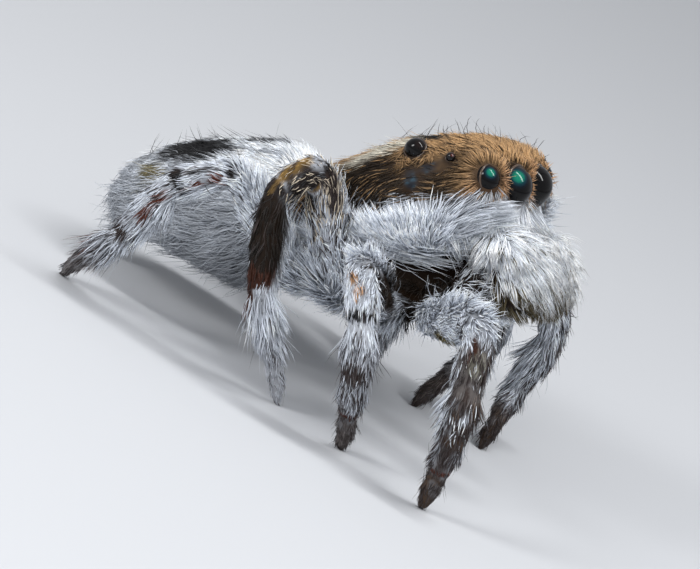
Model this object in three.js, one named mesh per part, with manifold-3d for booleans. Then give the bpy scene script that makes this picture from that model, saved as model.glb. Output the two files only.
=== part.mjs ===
// A jumping spider at life size, standing on all its feet.
// Millimetres, +Z up, the spider faces +X and its left side is +Y.
// Each solid reaches out to the tips of the hair that covers it.

import * as THREE from 'three';
import { mergeVertices } from 'three/addons/utils/BufferGeometryUtils.js';
import Module from 'manifold-3d';

const wasm = await Module();
wasm.setup();

// Driving dimensions.
const EYE_HEIGHT = 4.45; // middle of the two main eyes above the floor
const EYE_FORWARD = 3.0; // the same point, ahead of the middle of the stance
const BODY_PITCH = THREE.MathUtils.degToRad(21.65); // the head is held up
const SEAM = 0.012; // half the gap between two solids that meet
const WELD = 1e-4; // points closer than this are one
const LEG_SIDES = 10;
const STUB_SIDES = 10;
const BEND_RADIUS = 0.38; // of the middle line at a joint
const BEND_ROOM = 0.46; // most of a bone that one bend may take
const STRAIGHT = 0.05; // a turn, in radians, that needs no arc
const SHARP = 1.3; // a turn that needs a finer arc
const COXA_REACH = 0.45; // where the legs leave the breastplate, off the middle line
const TARSUS_SHARE = 0.56; // how far down the lower leg the foot begins

// The head and body are laid out in a frame of their own: x runs from the eyes
// (0) back to the tail (negative), z is the height off the line of sight.
const body = new THREE.Group();
body.position.set(EYE_FORWARD, 0, EYE_HEIGHT);
body.rotation.y = -BODY_PITCH;
body.updateMatrixWorld();

const spider = new THREE.Group();
spider.add(body);

const finish = {
  whiteCoat: { color: 0xd5d8dc, roughness: 0.85, metalness: 0 },
  tanCoat: { color: 0xa9814d, roughness: 0.8, metalness: 0 },
  legCoat: { color: 0xb9bbc0, roughness: 0.85, metalness: 0 },
  footCoat: { color: 0x5b4a3e, roughness: 0.8, metalness: 0 },
  bareCuticle: { color: 0x2a1a12, roughness: 0.4, metalness: 0 },
  lens: { color: 0x06090a, roughness: 0.05, metalness: 0 },
};

function addPiece(parent, name, geometry, look) {
  const mesh = new THREE.Mesh(geometry, new THREE.MeshStandardMaterial(finish[look]));
  mesh.name = name;
  parent.add(mesh);
  return mesh;
}

// Joining and cutting.

function weld(geometry) {
  const bare = geometry.clone();
  bare.deleteAttribute('normal');
  bare.deleteAttribute('uv');
  return mergeVertices(bare, WELD);
}

function toSolid(geometry) {
  const welded = weld(geometry);
  return new wasm.Manifold(new wasm.Mesh({
    numProp: 3,
    vertProperties: new Float32Array(welded.attributes.position.array),
    triVerts: new Uint32Array(welded.index.array),
  }));
}

function toGeometry(solid) {
  const mesh = solid.getMesh();
  const geometry = new THREE.BufferGeometry();
  geometry.setAttribute('position', new THREE.BufferAttribute(mesh.vertProperties, 3));
  geometry.setIndex(new THREE.BufferAttribute(mesh.triVerts, 1));
  return geometry;
}

// The same shape with its surface moved outwards, so that a cut leaves a seam.
function swell(geometry, amount) {
  const grown = weld(geometry);
  grown.computeVertexNormals();
  const { position, normal } = grown.attributes;
  for (let i = 0; i < position.count; i += 1) {
    position.setXYZ(
      i,
      position.getX(i) + amount * normal.getX(i),
      position.getY(i) + amount * normal.getY(i),
      position.getZ(i) + amount * normal.getZ(i),
    );
  }
  return grown;
}

function cutAway(geometry, neighbours) {
  const rest = neighbours.reduce(
    (solid, neighbour) => solid.subtract(toSolid(swell(neighbour, 2 * SEAM))),
    toSolid(geometry),
  );
  return toGeometry(rest);
}

// Body shapes: stations down the length, each with half width, top and bottom.

// A closed shape through stations [x, halfWidth, top, bottom], from tail to head.
// widest is the height of the broadest line between bottom (0) and top (1), and
// squareness is the exponent of the rounded section (2 is an ellipse).
function bodyShape({ stations, widest, squareness, sides, rows, reshape }) {
  const xs = stations.map(([x]) => x);
  const values = stations.flatMap(([, ...sizes]) => sizes);
  const sizesAt = new THREE.CubicInterpolant(xs, values, 3);
  const power = 2 / squareness;
  const shape = new THREE.CylinderGeometry(1, 1, 1, sides, rows);
  const { position } = shape.attributes;
  for (let i = 0; i < position.count; i += 1) {
    const share = 0.5 + position.getY(i);
    const step = share * (xs.length - 1);
    const before = Math.min(Math.floor(step), xs.length - 2);
    const x = THREE.MathUtils.lerp(xs[before], xs[before + 1], step - before);
    const [half, top, bottom] = sizesAt.evaluate(x);
    const level = THREE.MathUtils.lerp(bottom, top, widest);
    const across = -position.getX(i);
    const up = position.getZ(i);
    const reach = up > 0 ? top - level : level - bottom;
    const point = new THREE.Vector3(
      x,
      half * Math.sign(across) * Math.abs(across) ** power,
      level + reach * Math.sign(up) * Math.abs(up) ** power,
    );
    if (reshape) reshape(point, share);
    position.setXYZ(i, point.x, point.y, point.z);
  }
  return shape;
}

function midpoint(a, b, share = 0.5) {
  return new THREE.Vector3().lerpVectors(a, b, share);
}

// A limb is a round rod through its joints. Each joint is an arc of BEND_RADIUS, or
// tighter where the bones are short, and the limb parts in the middle of the arc.

function jointArc(before, joint, after) {
  const inward = joint.clone().sub(before).normalize();
  const outward = after.clone().sub(joint).normalize();
  const turn = inward.angleTo(outward);
  if (turn < STRAIGHT) return { entry: [], exit: [], middle: { point: joint, tangent: inward } };
  const room = BEND_ROOM * Math.min(joint.distanceTo(before), joint.distanceTo(after));
  const reach = Math.min(BEND_RADIUS * Math.tan(turn / 2), room);
  const radius = reach / Math.tan(turn / 2);
  const start = joint.clone().addScaledVector(inward, -reach);
  const bendward = outward.clone().addScaledVector(inward, -Math.cos(turn)).normalize();
  const at = (share) => ({
    point: start.clone()
      .addScaledVector(inward, radius * Math.sin(share * turn))
      .addScaledVector(bendward, radius * (1 - Math.cos(share * turn))),
    tangent: inward.clone().multiplyScalar(Math.cos(share * turn))
      .addScaledVector(bendward, Math.sin(share * turn)),
  });
  const fine = turn > SHARP ? [1 / 3, 2 / 3] : [0.5];
  return {
    entry: [0, ...fine.slice(0, -1)].map((share) => at(share / 2)),
    middle: at(0.5),
    exit: [...fine.slice(0, -1), 1].map((share) => at((1 + share) / 2)),
  };
}

// Rings from the middle of one joint to the middle of the next. The half thickness
// goes from one joint's to the other's, and swells to bulge in between.
function limbSpan(arcs, index, radii, bulge, straightRings) {
  const from = arcs[index];
  const to = arcs[index + 1];
  const leaving = [from.middle, ...from.exit];
  const arriving = [...to.entry, to.middle];
  const last = leaving[leaving.length - 1];
  const between = Array.from({ length: straightRings }, (_, i) => ({
    point: midpoint(last.point, arriving[0].point, (i + 1) / (straightRings + 1)),
    tangent: last.tangent,
  }));
  const rings = [...leaving, ...between, ...arriving];
  const lengths = rings.map((ring, i) => (i ? ring.point.distanceTo(rings[i - 1].point) : 0));
  const total = lengths.reduce((sum, length) => sum + length);
  let along = 0;
  return rings.map((ring, i) => {
    along += lengths[i];
    const share = along / total;
    const base = THREE.MathUtils.lerp(radii[index], radii[index + 1], share);
    const swelling = bulge - (radii[index] + radii[index + 1]) / 2;
    return { ...ring, radius: base + swelling * Math.sin(Math.PI * share) ** 2 };
  });
}

function limbArcs(joints) {
  return joints.map((joint, i) => {
    if (i > 0 && i < joints.length - 1) return jointArc(joints[i - 1], joint, joints[i + 1]);
    const tangent = (i ? joint.clone().sub(joints[i - 1]) : joints[1].clone().sub(joint)).normalize();
    return { entry: [], exit: [], middle: { point: joint, tangent } };
  });
}

// A closed rod through rings. plane is square to the plane that the limb bends in.
function ringShape(rings, plane, sides) {
  const shape = new THREE.CylinderGeometry(1, 1, 1, sides, rings.length - 1);
  const { position } = shape.attributes;
  for (let i = 0; i < position.count; i += 1) {
    const { point, tangent, radius } = rings[Math.round((0.5 - position.getY(i)) * (rings.length - 1))];
    const side = plane.clone().addScaledVector(tangent, -plane.dot(tangent)).normalize();
    const up = new THREE.Vector3().crossVectors(tangent, side);
    const vertex = point.clone()
      .addScaledVector(side, radius * position.getX(i))
      .addScaledVector(up, radius * position.getZ(i));
    position.setXYZ(i, vertex.x, vertex.y, vertex.z);
  }
  return shape;
}

// The rod's ends drawn back by half a seam, where it meets the next piece.
function openSeams(rings, atStart, atEnd) {
  const moved = rings.map((ring) => ({ ...ring, point: ring.point.clone() }));
  const last = moved[moved.length - 1];
  if (atStart) moved[0].point.addScaledVector(moved[0].tangent, SEAM);
  if (atEnd) last.point.addScaledVector(last.tangent, -SEAM);
  return moved;
}

// A short tapering limb: joints and half thicknesses, with no parting.
function stubShape(joints, radii) {
  const arcs = limbArcs(joints.map((joint) => new THREE.Vector3(...joint)));
  const rings = radii.slice(1).flatMap((radius, i) => {
    const middle = (radii[i] + radius) / 2;
    return limbSpan(arcs, i, radii, middle, 1).slice(i ? 1 : 0);
  });
  return ringShape(rings, LENGTHWAYS, STUB_SIDES);
}

function ball(centre, radii, tilt, [around, down]) {
  const shape = new THREE.SphereGeometry(1, around, down);
  shape.scale(...radii);
  shape.rotateY(tilt);
  shape.translate(...centre);
  return shape;
}

const SIDES = [['right', -1], ['left', 1]];
const LENGTHWAYS = new THREE.Vector3(0, 1, 0);

// Eyes: the lens is the outer part of a glassy ball that sits in the head.
// place is the middle of the ball on the left side.
const EYES = [
  { name: 'eye_front_middle', place: [-0.17, 0.365, 0.0], radius: 0.33, facets: [12, 8] },
  { name: 'eye_front_side', place: [-0.33, 0.95, 0.1], radius: 0.22, facets: [10, 7] },
  { name: 'eye_small', place: [-0.85, 1.17, 0.36], radius: 0.09, facets: [6, 4] },
  { name: 'eye_rear', place: [-1.45, 1.14, 0.4], radius: 0.175, facets: [10, 6] },
];

const eyeShapes = SIDES.flatMap(([side, sign]) => EYES.map((eye) => {
  const [x, y, z] = eye.place;
  const radii = [eye.radius, eye.radius, eye.radius];
  const shape = ball([x, sign * y, z], radii, Math.PI / 2, eye.facets);
  addPiece(body, `${eye.name}_${side}`, shape, 'lens');
  return shape;
}));

// Jaws: two stout upright basal joints under the face.
const jawShapes = SIDES.map(([side, sign]) => {
  const joints = [[-0.2, sign * 0.27, -0.93], [-0.17, sign * 0.27, -1.4], [-0.2, sign * 0.26, -1.95]];
  const shape = stubShape(joints, [0.21, 0.24, 0.16]);
  addPiece(body, `chelicera_${side}`, shape, 'bareCuticle');
  return shape;
});

// Head and chest: one shield, high and square at the eyes, sloping to the waist.
const BROW = 0.14; // how far the fringe over the main eyes stands out
const MOUSTACHE = 0.12; // the same for the hair below them
const BROW_FROM = 0.3; // height on the face above which the fringe begins
const MOUSTACHE_TO = -0.5; // height below which the lower hair begins
const shieldShape = bodyShape({
  stations: [
    [-3.95, 0.45, -0.72, -1.12],
    [-3.72, 0.95, -0.52, -1.34],
    [-3.1, 1.3, 0.02, -1.42],
    [-2.5, 1.48, 0.32, -1.44],
    [-1.8, 1.57, 0.6, -1.44],
    [-1.1, 1.5, 0.74, -1.38],
    [-0.55, 1.34, 0.71, -1.2],
    [-0.24, 1.13, 0.6, -0.95],
    [-0.06, 0.9, 0.5, -0.84],
    [0.02, 0.66, 0.41, -0.78],
  ],
  widest: 0.5,
  squareness: 2.5,
  sides: 22,
  rows: 12,
  reshape: (point, share) => {
    if (share < 1) return;
    if (point.z > BROW_FROM) point.x += BROW;
    if (point.z < MOUSTACHE_TO) point.x += MOUSTACHE;
  },
});
addPiece(body, 'carapace', cutAway(shieldShape, [...eyeShapes, ...jawShapes]), 'tanCoat');

// Breastplate between the legs.
addPiece(body, 'sternum', bodyShape({
  stations: [
    [-3.3, 0.16, -1.6, -1.9],
    [-2.9, 0.34, -1.5, -2.1],
    [-1.9, 0.4, -1.5, -2.16],
    [-0.9, 0.36, -1.47, -2.04],
    [-0.5, 0.26, -1.5, -1.85],
  ],
  widest: 0.5,
  squareness: 2.6,
  sides: 12,
  rows: 4,
}), 'bareCuticle');

// Abdomen: an oval sack, blunt in front, narrowing to the spinnerets.
const sackShape = bodyShape({
  stations: [
    [-6.92, 0.28, -0.72, -1.2],
    [-6.82, 0.56, -0.52, -1.4],
    [-6.45, 0.92, -0.26, -1.62],
    [-5.8, 1.2, 0.01, -1.86],
    [-5.0, 1.32, 0.16, -2.1],
    [-4.3, 1.22, 0.21, -2.2],
    [-3.8, 0.95, 0.14, -1.98],
    [-3.56, 0.6, -0.1, -1.6],
  ],
  widest: 0.5,
  squareness: 2.1,
  sides: 18,
  rows: 10,
});
const waistShape = bodyShape({
  stations: [
    [-4.4, 0.2, -1.42, -1.82],
    [-3.9, 0.22, -1.44, -1.86],
    [-3.36, 0.2, -1.5, -1.86],
  ],
  widest: 0.5,
  squareness: 2,
  sides: 10,
  rows: 2,
});
addPiece(body, 'abdomen', cutAway(sackShape, [shieldShape, waistShape]), 'whiteCoat');
addPiece(body, 'pedicel', waistShape, 'bareCuticle');

const spinneretShape = stubShape(
  [[-6.3, 0, -1.3], [-6.68, 0, -1.48], [-6.96, 0, -1.6]],
  [0.3, 0.27, 0.15],
);
addPiece(body, 'spinnerets', cutAway(spinneretShape, [sackShape]), 'footCoat');

// Palps: short feelers in front of the jaws, their ends hidden in a ball of hair.
// The left one is drawn in closer to the face.
const PALPS = [
  { side: 'right', middle: [0.2, -0.64, -1.27], root: [-0.66, -0.72, -1.72] },
  { side: 'left', middle: [0.06, 0.58, -1.33], root: [-0.66, 0.72, -1.72] },
];
const PUFF_RADII = [0.58, 0.47, 0.88];
const PUFF_LEAN = 0.34; // the ball's foot is ahead of its top
const STEM_RADII = [0.16, 0.19, 0.19]; // at the root, the elbow and the ball
const STEM_SPREAD = 1.3; // the stem passes outside the ball's middle by this factor
const ELBOW_BEHIND = 0.58; // the stem's elbow, behind and below the ball's middle
const ELBOW_BELOW = 0.26;
const STEM_END_BEHIND = 0.22;

const palpShapes = PALPS.map(({ side, middle, root }) => {
  const puff = ball(middle, PUFF_RADII, -PUFF_LEAN, [11, 9]);
  addPiece(body, `palp_end_${side}`, cutAway(puff, [shieldShape, ...jawShapes]), 'whiteCoat');
  const [x, y, z] = middle;
  const elbow = [x - ELBOW_BEHIND, y * STEM_SPREAD, z - ELBOW_BELOW];
  const end = [x - STEM_END_BEHIND, y * STEM_SPREAD, z];
  const stem = stubShape([root, elbow, end], STEM_RADII);
  addPiece(body, `palp_base_${side}`, cutAway(stem, [puff]), 'bareCuticle');
  return puff;
});

// Legs. Each row: hip, end of the second ring, knee, end of the knee piece, ankle
// and sole, in the frame of the floor. The two sides stand differently.
const LEGS = [
  {
    name: 'leg1_right',
    stoutness: 1.08,
    joints: [[2.82, -1, 2.36], [3.0, -1.28, 2.16], [4.36, -2.65, 2.93], [4.62, -2.78, 2.0],
      [4.9, -3.12, 1.38], [4.76, -2.63, 0]],
  },
  {
    name: 'leg2_right',
    stoutness: 1.04,
    joints: [[2.17, -1, 2.05], [2.22, -1.32, 1.88], [2.2, -3.0, 2.9], [2.68, -2.88, 2.06],
      [3.02, -3.0, 1.24], [3.03, -2.28, 0]],
  },
  {
    name: 'leg3_right',
    stoutness: 1,
    joints: [[1.5, -1, 1.8], [1.36, -1.32, 1.62], [0.62, -2.18, 3.74], [0.46, -2.83, 2.97],
      [0.88, -2.78, 1.61], [1.7, -2.07, 0]],
  },
  {
    name: 'leg4_right',
    stoutness: 0.95,
    joints: [[0.84, -1, 1.58], [0.66, -1.22, 1.48], [-0.42, -2.42, 2.88], [-1.12, -2.78, 2.3],
      [-1.45, -2.9, 1.18], [-2.29, -2.38, 0]],
  },
  {
    name: 'leg1_left',
    stoutness: 0.96,
    joints: [[2.82, 1, 2.36], [2.95, 1.3, 2.18], [3.02, 2.62, 2.82], [3.34, 2.9, 1.98],
      [3.2, 2.85, 0.98], [3.42, 1.98, 0]],
  },
  {
    name: 'leg2_left',
    stoutness: 0.96,
    joints: [[2.17, 1, 2.05], [2.22, 1.32, 1.9], [2.06, 2.86, 2.72], [2.36, 3.06, 1.86],
      [2.36, 3.02, 1.02], [2.1, 2.0, 0]],
  },
  {
    name: 'leg3_left',
    stoutness: 0.96,
    joints: [[1.5, 1, 1.8], [1.38, 1.32, 1.64], [0.74, 2.45, 3.12], [0.48, 2.95, 2.42],
      [0.68, 2.98, 1.3], [1.05, 2.2, 0]],
  },
  {
    name: 'leg4_left',
    stoutness: 0.95,
    joints: [[0.84, 1, 1.58], [0.68, 1.22, 1.5], [-0.45, 2.3, 2.66], [-1.12, 2.68, 2.1],
      [-1.42, 2.88, 1.08], [-2.12, 2.3, 0]],
  },
];

// Half thickness over the hair: in the middle of each bone, and at the joints from
// the root of the leg to below the sole.
const BULGES = [0.33, 0.41, 0.35, 0.36, 0.28, 0.25, 0.24];
const JOINT_RADII = [0.31, 0.31, 0.3, 0.28, 0.25, 0.22, 0.24, 0.24];
const STRAIGHT_RINGS = [0, 2, 1, 1, 1, 1, 0]; // between the bends of each bone
// Each segment's name, with the first of its bones and the one after its last.
const SEGMENTS = [
  ['femur', 0, 2],
  ['patella', 2, 3],
  ['tibia', 3, 4],
  ['metatarsus', 4, 5],
  ['tarsus', 5, 7],
];
const SOLE_BEND = 0.16; // height at which the foot turns down onto its sole
const BELOW_FLOOR = 0.3; // how far the foot runs on before it is cut flat

const FLOOR_WIDTH = 30;
const FLOOR_DEPTH = 2;
const floor = new THREE.BoxGeometry(FLOOR_WIDTH, FLOOR_WIDTH, FLOOR_DEPTH);
floor.translate(0, 0, -FLOOR_DEPTH / 2);
const shieldInPlace = shieldShape.clone().applyMatrix4(body.matrixWorld);
const puffsInPlace = palpShapes.map((puff) => puff.clone().applyMatrix4(body.matrixWorld));

for (const { name, stoutness, joints } of LEGS) {
  const [coxa, hip, knee, belowKnee, ankle, sole] = joints.map((p) => new THREE.Vector3(...p));
  const root = new THREE.Vector3(coxa.x, Math.sign(coxa.y) * COXA_REACH, coxa.z);
  const heel = new THREE.Vector3(sole.x, sole.y, SOLE_BEND);
  const under = new THREE.Vector3(sole.x, sole.y, -BELOW_FLOOR);
  const foot = midpoint(ankle, heel, TARSUS_SHARE);
  const arcs = limbArcs([root, hip, knee, belowKnee, ankle, foot, heel, under]);
  const radii = JOINT_RADII.map((radius) => stoutness * radius);
  const spans = BULGES.map((bulge, i) => (
    limbSpan(arcs, i, radii, stoutness * bulge, STRAIGHT_RINGS[i])
  ));
  const plane = new THREE.Vector3()
    .crossVectors(knee.clone().sub(hip), sole.clone().sub(hip))
    .normalize();
  for (const [segment, from, to] of SEGMENTS) {
    const rings = spans.slice(from, to).flatMap((span, i) => span.slice(i ? 1 : 0));
    const parted = openSeams(rings, segment !== 'femur', segment !== 'tarsus');
    let shape = ringShape(parted, plane, LEG_SIDES);
    if (segment === 'femur') shape = cutAway(shape, [shieldInPlace, ...puffsInPlace]);
    if (segment === 'tarsus') shape = toGeometry(toSolid(shape).subtract(toSolid(floor)));
    const look = segment === 'tarsus' ? 'footCoat' : 'legCoat';
    addPiece(spider, `${name}_${segment}`, shape, look);
  }
}

// The origin is on the floor, under the middle of the whole animal.
const bounds = new THREE.Box3().setFromObject(spider, true);
const middle = bounds.getCenter(new THREE.Vector3());
spider.position.set(-middle.x, -middle.y, -bounds.min.z);
spider.updateMatrixWorld(true);

const part = new THREE.Group();
part.add(spider);
export default part;
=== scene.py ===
# %% [markdown]
# # A jumping spider at life size
#
# A jumping spider is about 7 mm long. It has a hard brown skin, called cuticle, and
# nearly all of it is covered by hair: short tan hair on the head, a long white mane
# on the cheeks, a ball of white hair on each palp, and shaggy grey-white legs.
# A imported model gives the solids, out to the tips of the hair. This lesson builds
# one skin inside those solids, sets the eyes in it, and then lays the coat, one
# strand after another, in arrays of numbers that become a few joined meshes.

import math

import bpy
import numpy as np
from mathutils import Matrix, Vector
from mathutils.bvhtree import BVHTree
from mathutils.kdtree import KDTree


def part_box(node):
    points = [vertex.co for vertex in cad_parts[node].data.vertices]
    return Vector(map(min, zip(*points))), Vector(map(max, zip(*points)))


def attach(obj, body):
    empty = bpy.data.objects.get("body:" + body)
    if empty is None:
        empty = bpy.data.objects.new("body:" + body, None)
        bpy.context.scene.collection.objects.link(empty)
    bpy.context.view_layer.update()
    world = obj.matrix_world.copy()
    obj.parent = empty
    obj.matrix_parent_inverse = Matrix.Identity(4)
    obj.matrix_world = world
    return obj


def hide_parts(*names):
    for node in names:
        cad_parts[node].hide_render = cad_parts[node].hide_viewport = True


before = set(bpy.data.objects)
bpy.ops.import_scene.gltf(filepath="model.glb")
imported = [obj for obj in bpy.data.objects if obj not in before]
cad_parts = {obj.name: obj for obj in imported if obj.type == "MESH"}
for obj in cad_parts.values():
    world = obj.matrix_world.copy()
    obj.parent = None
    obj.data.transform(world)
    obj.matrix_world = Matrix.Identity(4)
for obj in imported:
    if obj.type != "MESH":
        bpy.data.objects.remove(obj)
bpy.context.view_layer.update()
print("the packed model has", len(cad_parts), "nodes")

# %% [markdown]
# ## Working size
#
# The animal is so small that metres are awkward: one hair is 0.00002 m wide. All
# arrays here are in millimetres, and each mesh is scaled to metres as the last
# step of its making.

# %% Working size and small helpers
MM = 0.001
PER_MM = 1 / MM
SIDES = ("right", "left")


def unit(vectors):
    """Vectors at length one. One vector or rows of them."""
    return vectors / np.maximum(np.linalg.norm(vectors, axis=-1, keepdims=True), 1e-9)


def along(vectors, axis):
    """How far each vector goes in the direction of axis."""
    return np.sum(vectors * axis, axis=-1)


def smooth(low, high, values):
    """0 below low, 1 above high, and an even slope between. low may be above high."""
    share = np.clip((values - low) / (high - low), 0, 1)
    return share * share * (3 - 2 * share)


def mix(first, second, share):
    """First where share is 0 and second where it is 1, for rows of vectors."""
    share = np.asarray(share, float)[..., None]
    return first * (1 - share) + second * share


def layered(colour, *layers):
    """A colour with layers over it, each with the share of it that it covers."""
    for layer, share in layers:
        colour = mix(colour, layer, share)
    return colour


def less(amount, *parts):
    """An amount less a part of it, less a part of what is left, and so on."""
    for part in parts:
        amount = amount * (1 - part)
    return amount


def in_rows(*columns):
    """Columns of numbers, some of them the same all the way down, as rows."""
    return np.stack(np.broadcast_arrays(*columns), axis=-1)


def ripple(points, size, seed):
    """A soft random field from -1 to 1 over space, with humps about size apart."""
    source = np.random.default_rng(seed)
    waves = unit(source.normal(size=(6, 3))) * (math.pi / size)
    starts = source.uniform(0, 2 * math.pi, 6)
    return np.sin(points @ waves.T + starts).sum(axis=1) / 3


def linear(code):
    """The linear colour of an sRGB hex code, as three numbers."""
    values = np.array([int(code[i : i + 2], 16) for i in (1, 3, 5)]) / 255
    return np.where(values <= 0.04045, values / 12.92, ((values + 0.055) / 1.055) ** 2.4)


# %% [markdown]
# ## The head's own directions
#
# The body is pitched up, so heights and lengths on it are easier to say in a frame
# of its own: x forward along the line of sight, y to the spider's left, z up.
# The middle of this frame lies between the two main eyes, and comes from them.

# %% The frame of the body
BODY_PITCH = math.radians(21.65)
BALL_BEHIND = 0.17  # the middle of a main eye's ball is this far behind the face

FORWARD = np.array([math.cos(BODY_PITCH), 0, math.sin(BODY_PITCH)])
LEFT = np.array([0.0, 1.0, 0.0])
UPWARD = np.array([-math.sin(BODY_PITCH), 0, math.cos(BODY_PITCH)])
AXES = np.array([FORWARD, LEFT, UPWARD])


def node_ball(name):
    """The middle and the radius of a node that is a ball, in millimetres."""
    low, high = (np.array(corner) * PER_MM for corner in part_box(name))
    return (low + high) / 2, (high - low).max() / 2


main_eyes = [node_ball(f"eye_front_middle_{side}")[0] for side in SIDES]
SIGHT = np.mean(main_eyes, axis=0) + BALL_BEHIND * FORWARD


def to_body(points):
    return (points - SIGHT) @ AXES.T


def from_body(points):
    return np.asarray(points) @ AXES + SIGHT


def in_body(vectors):
    """Directions given in the body's frame, in the frame of the floor."""
    return np.asarray(vectors) @ AXES


print("the line of sight starts at", SIGHT.round(3))

# %% [markdown]
# ## Camera, light and floor
#
# The view is from the spider's right and a little above, rolled so that the body
# climbs to the right. A long lens from 12 cm away keeps the small animal in nearly
# parallel view, as macro pictures do. The floor is plain and pale. A long soft lamp
# stands high in front of the head and a smaller one over the camera, and both show
# as bright spots in the eyes. Three wide and weak ones only fill the shadows.

# %% Camera
VIEW_RIGHT = np.array([0.789, 0.436, 0.432])
VIEW_UP = np.array([-0.493, 0.031, 0.869])
VIEW_BACK = np.cross(VIEW_RIGHT, VIEW_UP)
VIEW_AXES = np.array([VIEW_RIGHT, VIEW_UP, VIEW_BACK])
AIM = np.array([0.507, -1.117, 1.941])
VIEW_DISTANCE = 120.0
VIEW_WIDTH = 10.606  # what the picture's width takes in at the aim


def face_aim(obj, back, distance, right=VIEW_RIGHT):
    """Puts a camera or a lamp at a distance from the aim and turns it there."""
    back = unit(np.asarray(back, float))
    right = unit(right - along(right, back) * back)
    turn = Matrix(np.array([right, np.cross(back, right), back]).T.tolist())
    place = Vector((AIM + distance * back) * MM)
    obj.matrix_world = Matrix.Translation(place) @ turn.to_4x4()
    bpy.context.scene.collection.objects.link(obj)


camera_data = bpy.data.cameras.new("camera")
camera_data.sensor_width = 36.0
camera_data.lens = camera_data.sensor_width * VIEW_DISTANCE / VIEW_WIDTH
camera_data.clip_start = 0.001
camera_data.clip_end = 10
camera = bpy.data.objects.new("camera", camera_data)
face_aim(camera, VIEW_BACK, VIEW_DISTANCE)
bpy.context.scene.camera = camera
bpy.context.scene.view_settings.view_transform = "Standard"
print("lens", round(camera_data.lens), "mm")

# %% One small function for nodes


def add_node(tree, kind, links=None, **settings):
    """Adds a node, sets its fields and input values, and links its inputs."""
    node = tree.nodes.new(kind)
    for name, value in settings.items():
        if hasattr(node, name):
            setattr(node, name, value)
        else:
            node.inputs[name.replace("_", " ")].default_value = value
    for name, output in (links or {}).items():
        tree.links.new(output, node.inputs[name])
    return node


def new_material(name):
    material = bpy.data.materials.new(name)
    material.use_nodes = True
    material.node_tree.nodes.clear()
    return material, material.node_tree


def rgba(code):
    return (*linear(code), 1.0)


# %% Lamps
LAMPS = [  # name, direction in the view, distance, size, watts, long way, shows in the eyes
    ("key_lamp", [0.66, 0.66, 0.28], 60, (52, 7), 0.025, [0.49, -0.59, 0.23], True),
    ("second_lamp", [-0.45, 0.63, 0.62], 60, (24, 14), 0.016, [1, 0, 0], True),
    ("front_lamp", [0, 0.4, 0.9], 70, (50, 50), 0.021, [1, 0, 0], False),
    ("side_lamp", [0.9, 0.1, 0.5], 70, (60, 60), 0.0075, [1, 0, 0], False),
    ("back_lamp", [-0.2, 0.8, -0.8], 70, (50, 50), 0.0048, [1, 0, 0], False),
]
for name, direction, distance, sizes, watts, long_way, shows in LAMPS:
    data = bpy.data.lights.new(name, "AREA")
    data.shape = "RECTANGLE"
    data.size, data.size_y = sizes[0] * MM, sizes[1] * MM
    data.energy = watts
    lamp = bpy.data.objects.new(name, data)
    lamp.visible_glossy = shows
    face_aim(lamp, direction @ VIEW_AXES, distance, long_way @ VIEW_AXES)
print("set", len(LAMPS), "lamps")

# %% World
BACKDROP = "#c3c5c9"
SKY_LIGHT = 0.3

world = bpy.data.worlds.new("studio")
bpy.context.scene.world = world
world.use_nodes = True
sky = world.node_tree
sky.nodes.clear()
rays = add_node(sky, "ShaderNodeLightPath")
straight = rays.outputs["Is Camera Ray"]
for ray in ("Is Glossy Ray", "Is Transmission Ray"):
    either = add_node(
        sky, "ShaderNodeMath", {0: straight, 1: rays.outputs[ray]}, operation="MAXIMUM"
    )
    straight = either.outputs[0]
soft_sky = add_node(sky, "ShaderNodeBackground", Color=(0.93, 0.96, 1.0, 1), Strength=SKY_LIGHT)
seen_sky = add_node(sky, "ShaderNodeBackground", Color=rgba(BACKDROP), Strength=1.0)
chosen = add_node(
    sky, "ShaderNodeMixShader", {0: straight, 1: soft_sky.outputs[0], 2: seen_sky.outputs[0]}
)
add_node(sky, "ShaderNodeOutputWorld", {"Surface": chosen.outputs[0]})
print("the world's light has a strength of", SKY_LIGHT)

# %% Floor
FLOOR_WIDTH = 1.2  # metres

bpy.ops.object.select_all(action="DESELECT")
bpy.ops.mesh.primitive_plane_add(size=FLOOR_WIDTH)
floor = bpy.context.object
floor.name = "floor"

# Rolled matt paint: an even pale ground that shows the shadow and no shine.
paint, tree = new_material("matt_floor_paint")
shader = add_node(tree, "ShaderNodeBsdfPrincipled", Base_Color=rgba(BACKDROP), Roughness=0.9)
add_node(tree, "ShaderNodeOutputMaterial", {"Surface": shader.outputs[0]})
floor.data.materials.append(paint)
print("the floor is", FLOOR_WIDTH, "m wide")

# %% [markdown]
# ## Where the bones of each leg run
#
# Hair on a leg lies along it, so the coat has to know which way each leg runs. Two
# leg segments meet in a narrow seam, ring against ring. The middle of that ring is
# the joint. The first segment bends at the hip, so it is sliced to find its line.

# %% Leg lines
LEGS = [f"leg{number}_{side}" for side in SIDES for number in (1, 2, 3, 4)]
SEGMENTS = ["femur", "patella", "tibia", "metatarsus", "tarsus"]
COXA, FEMUR, PATELLA, TIBIA, METATARSUS, TARSUS = range(6)  # the bones of a leg line
SEAM_REACH = 0.045  # points on two sides of a seam are closer than this
ROOT_POINTS = 10  # so many of a leg's innermost points give its root
HIP_OUT = 1.28  # how far the hips are from the middle of the body
HIP_SLICE = 0.25  # half the thickness of the slice at the hips
SOLE_BELOW = 0.01  # points of a foot below this height are its sole


def node_points(name):
    """The separate points of a node's mesh, in millimetres."""
    points = np.array([v.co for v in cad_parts[name].data.vertices]) * PER_MM
    return np.unique(points.round(4), axis=0)


def seam_middle(first, second):
    near = np.linalg.norm(first[:, None] - second[None], axis=2).min(axis=1) < SEAM_REACH
    return first[near].mean(axis=0)


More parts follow.
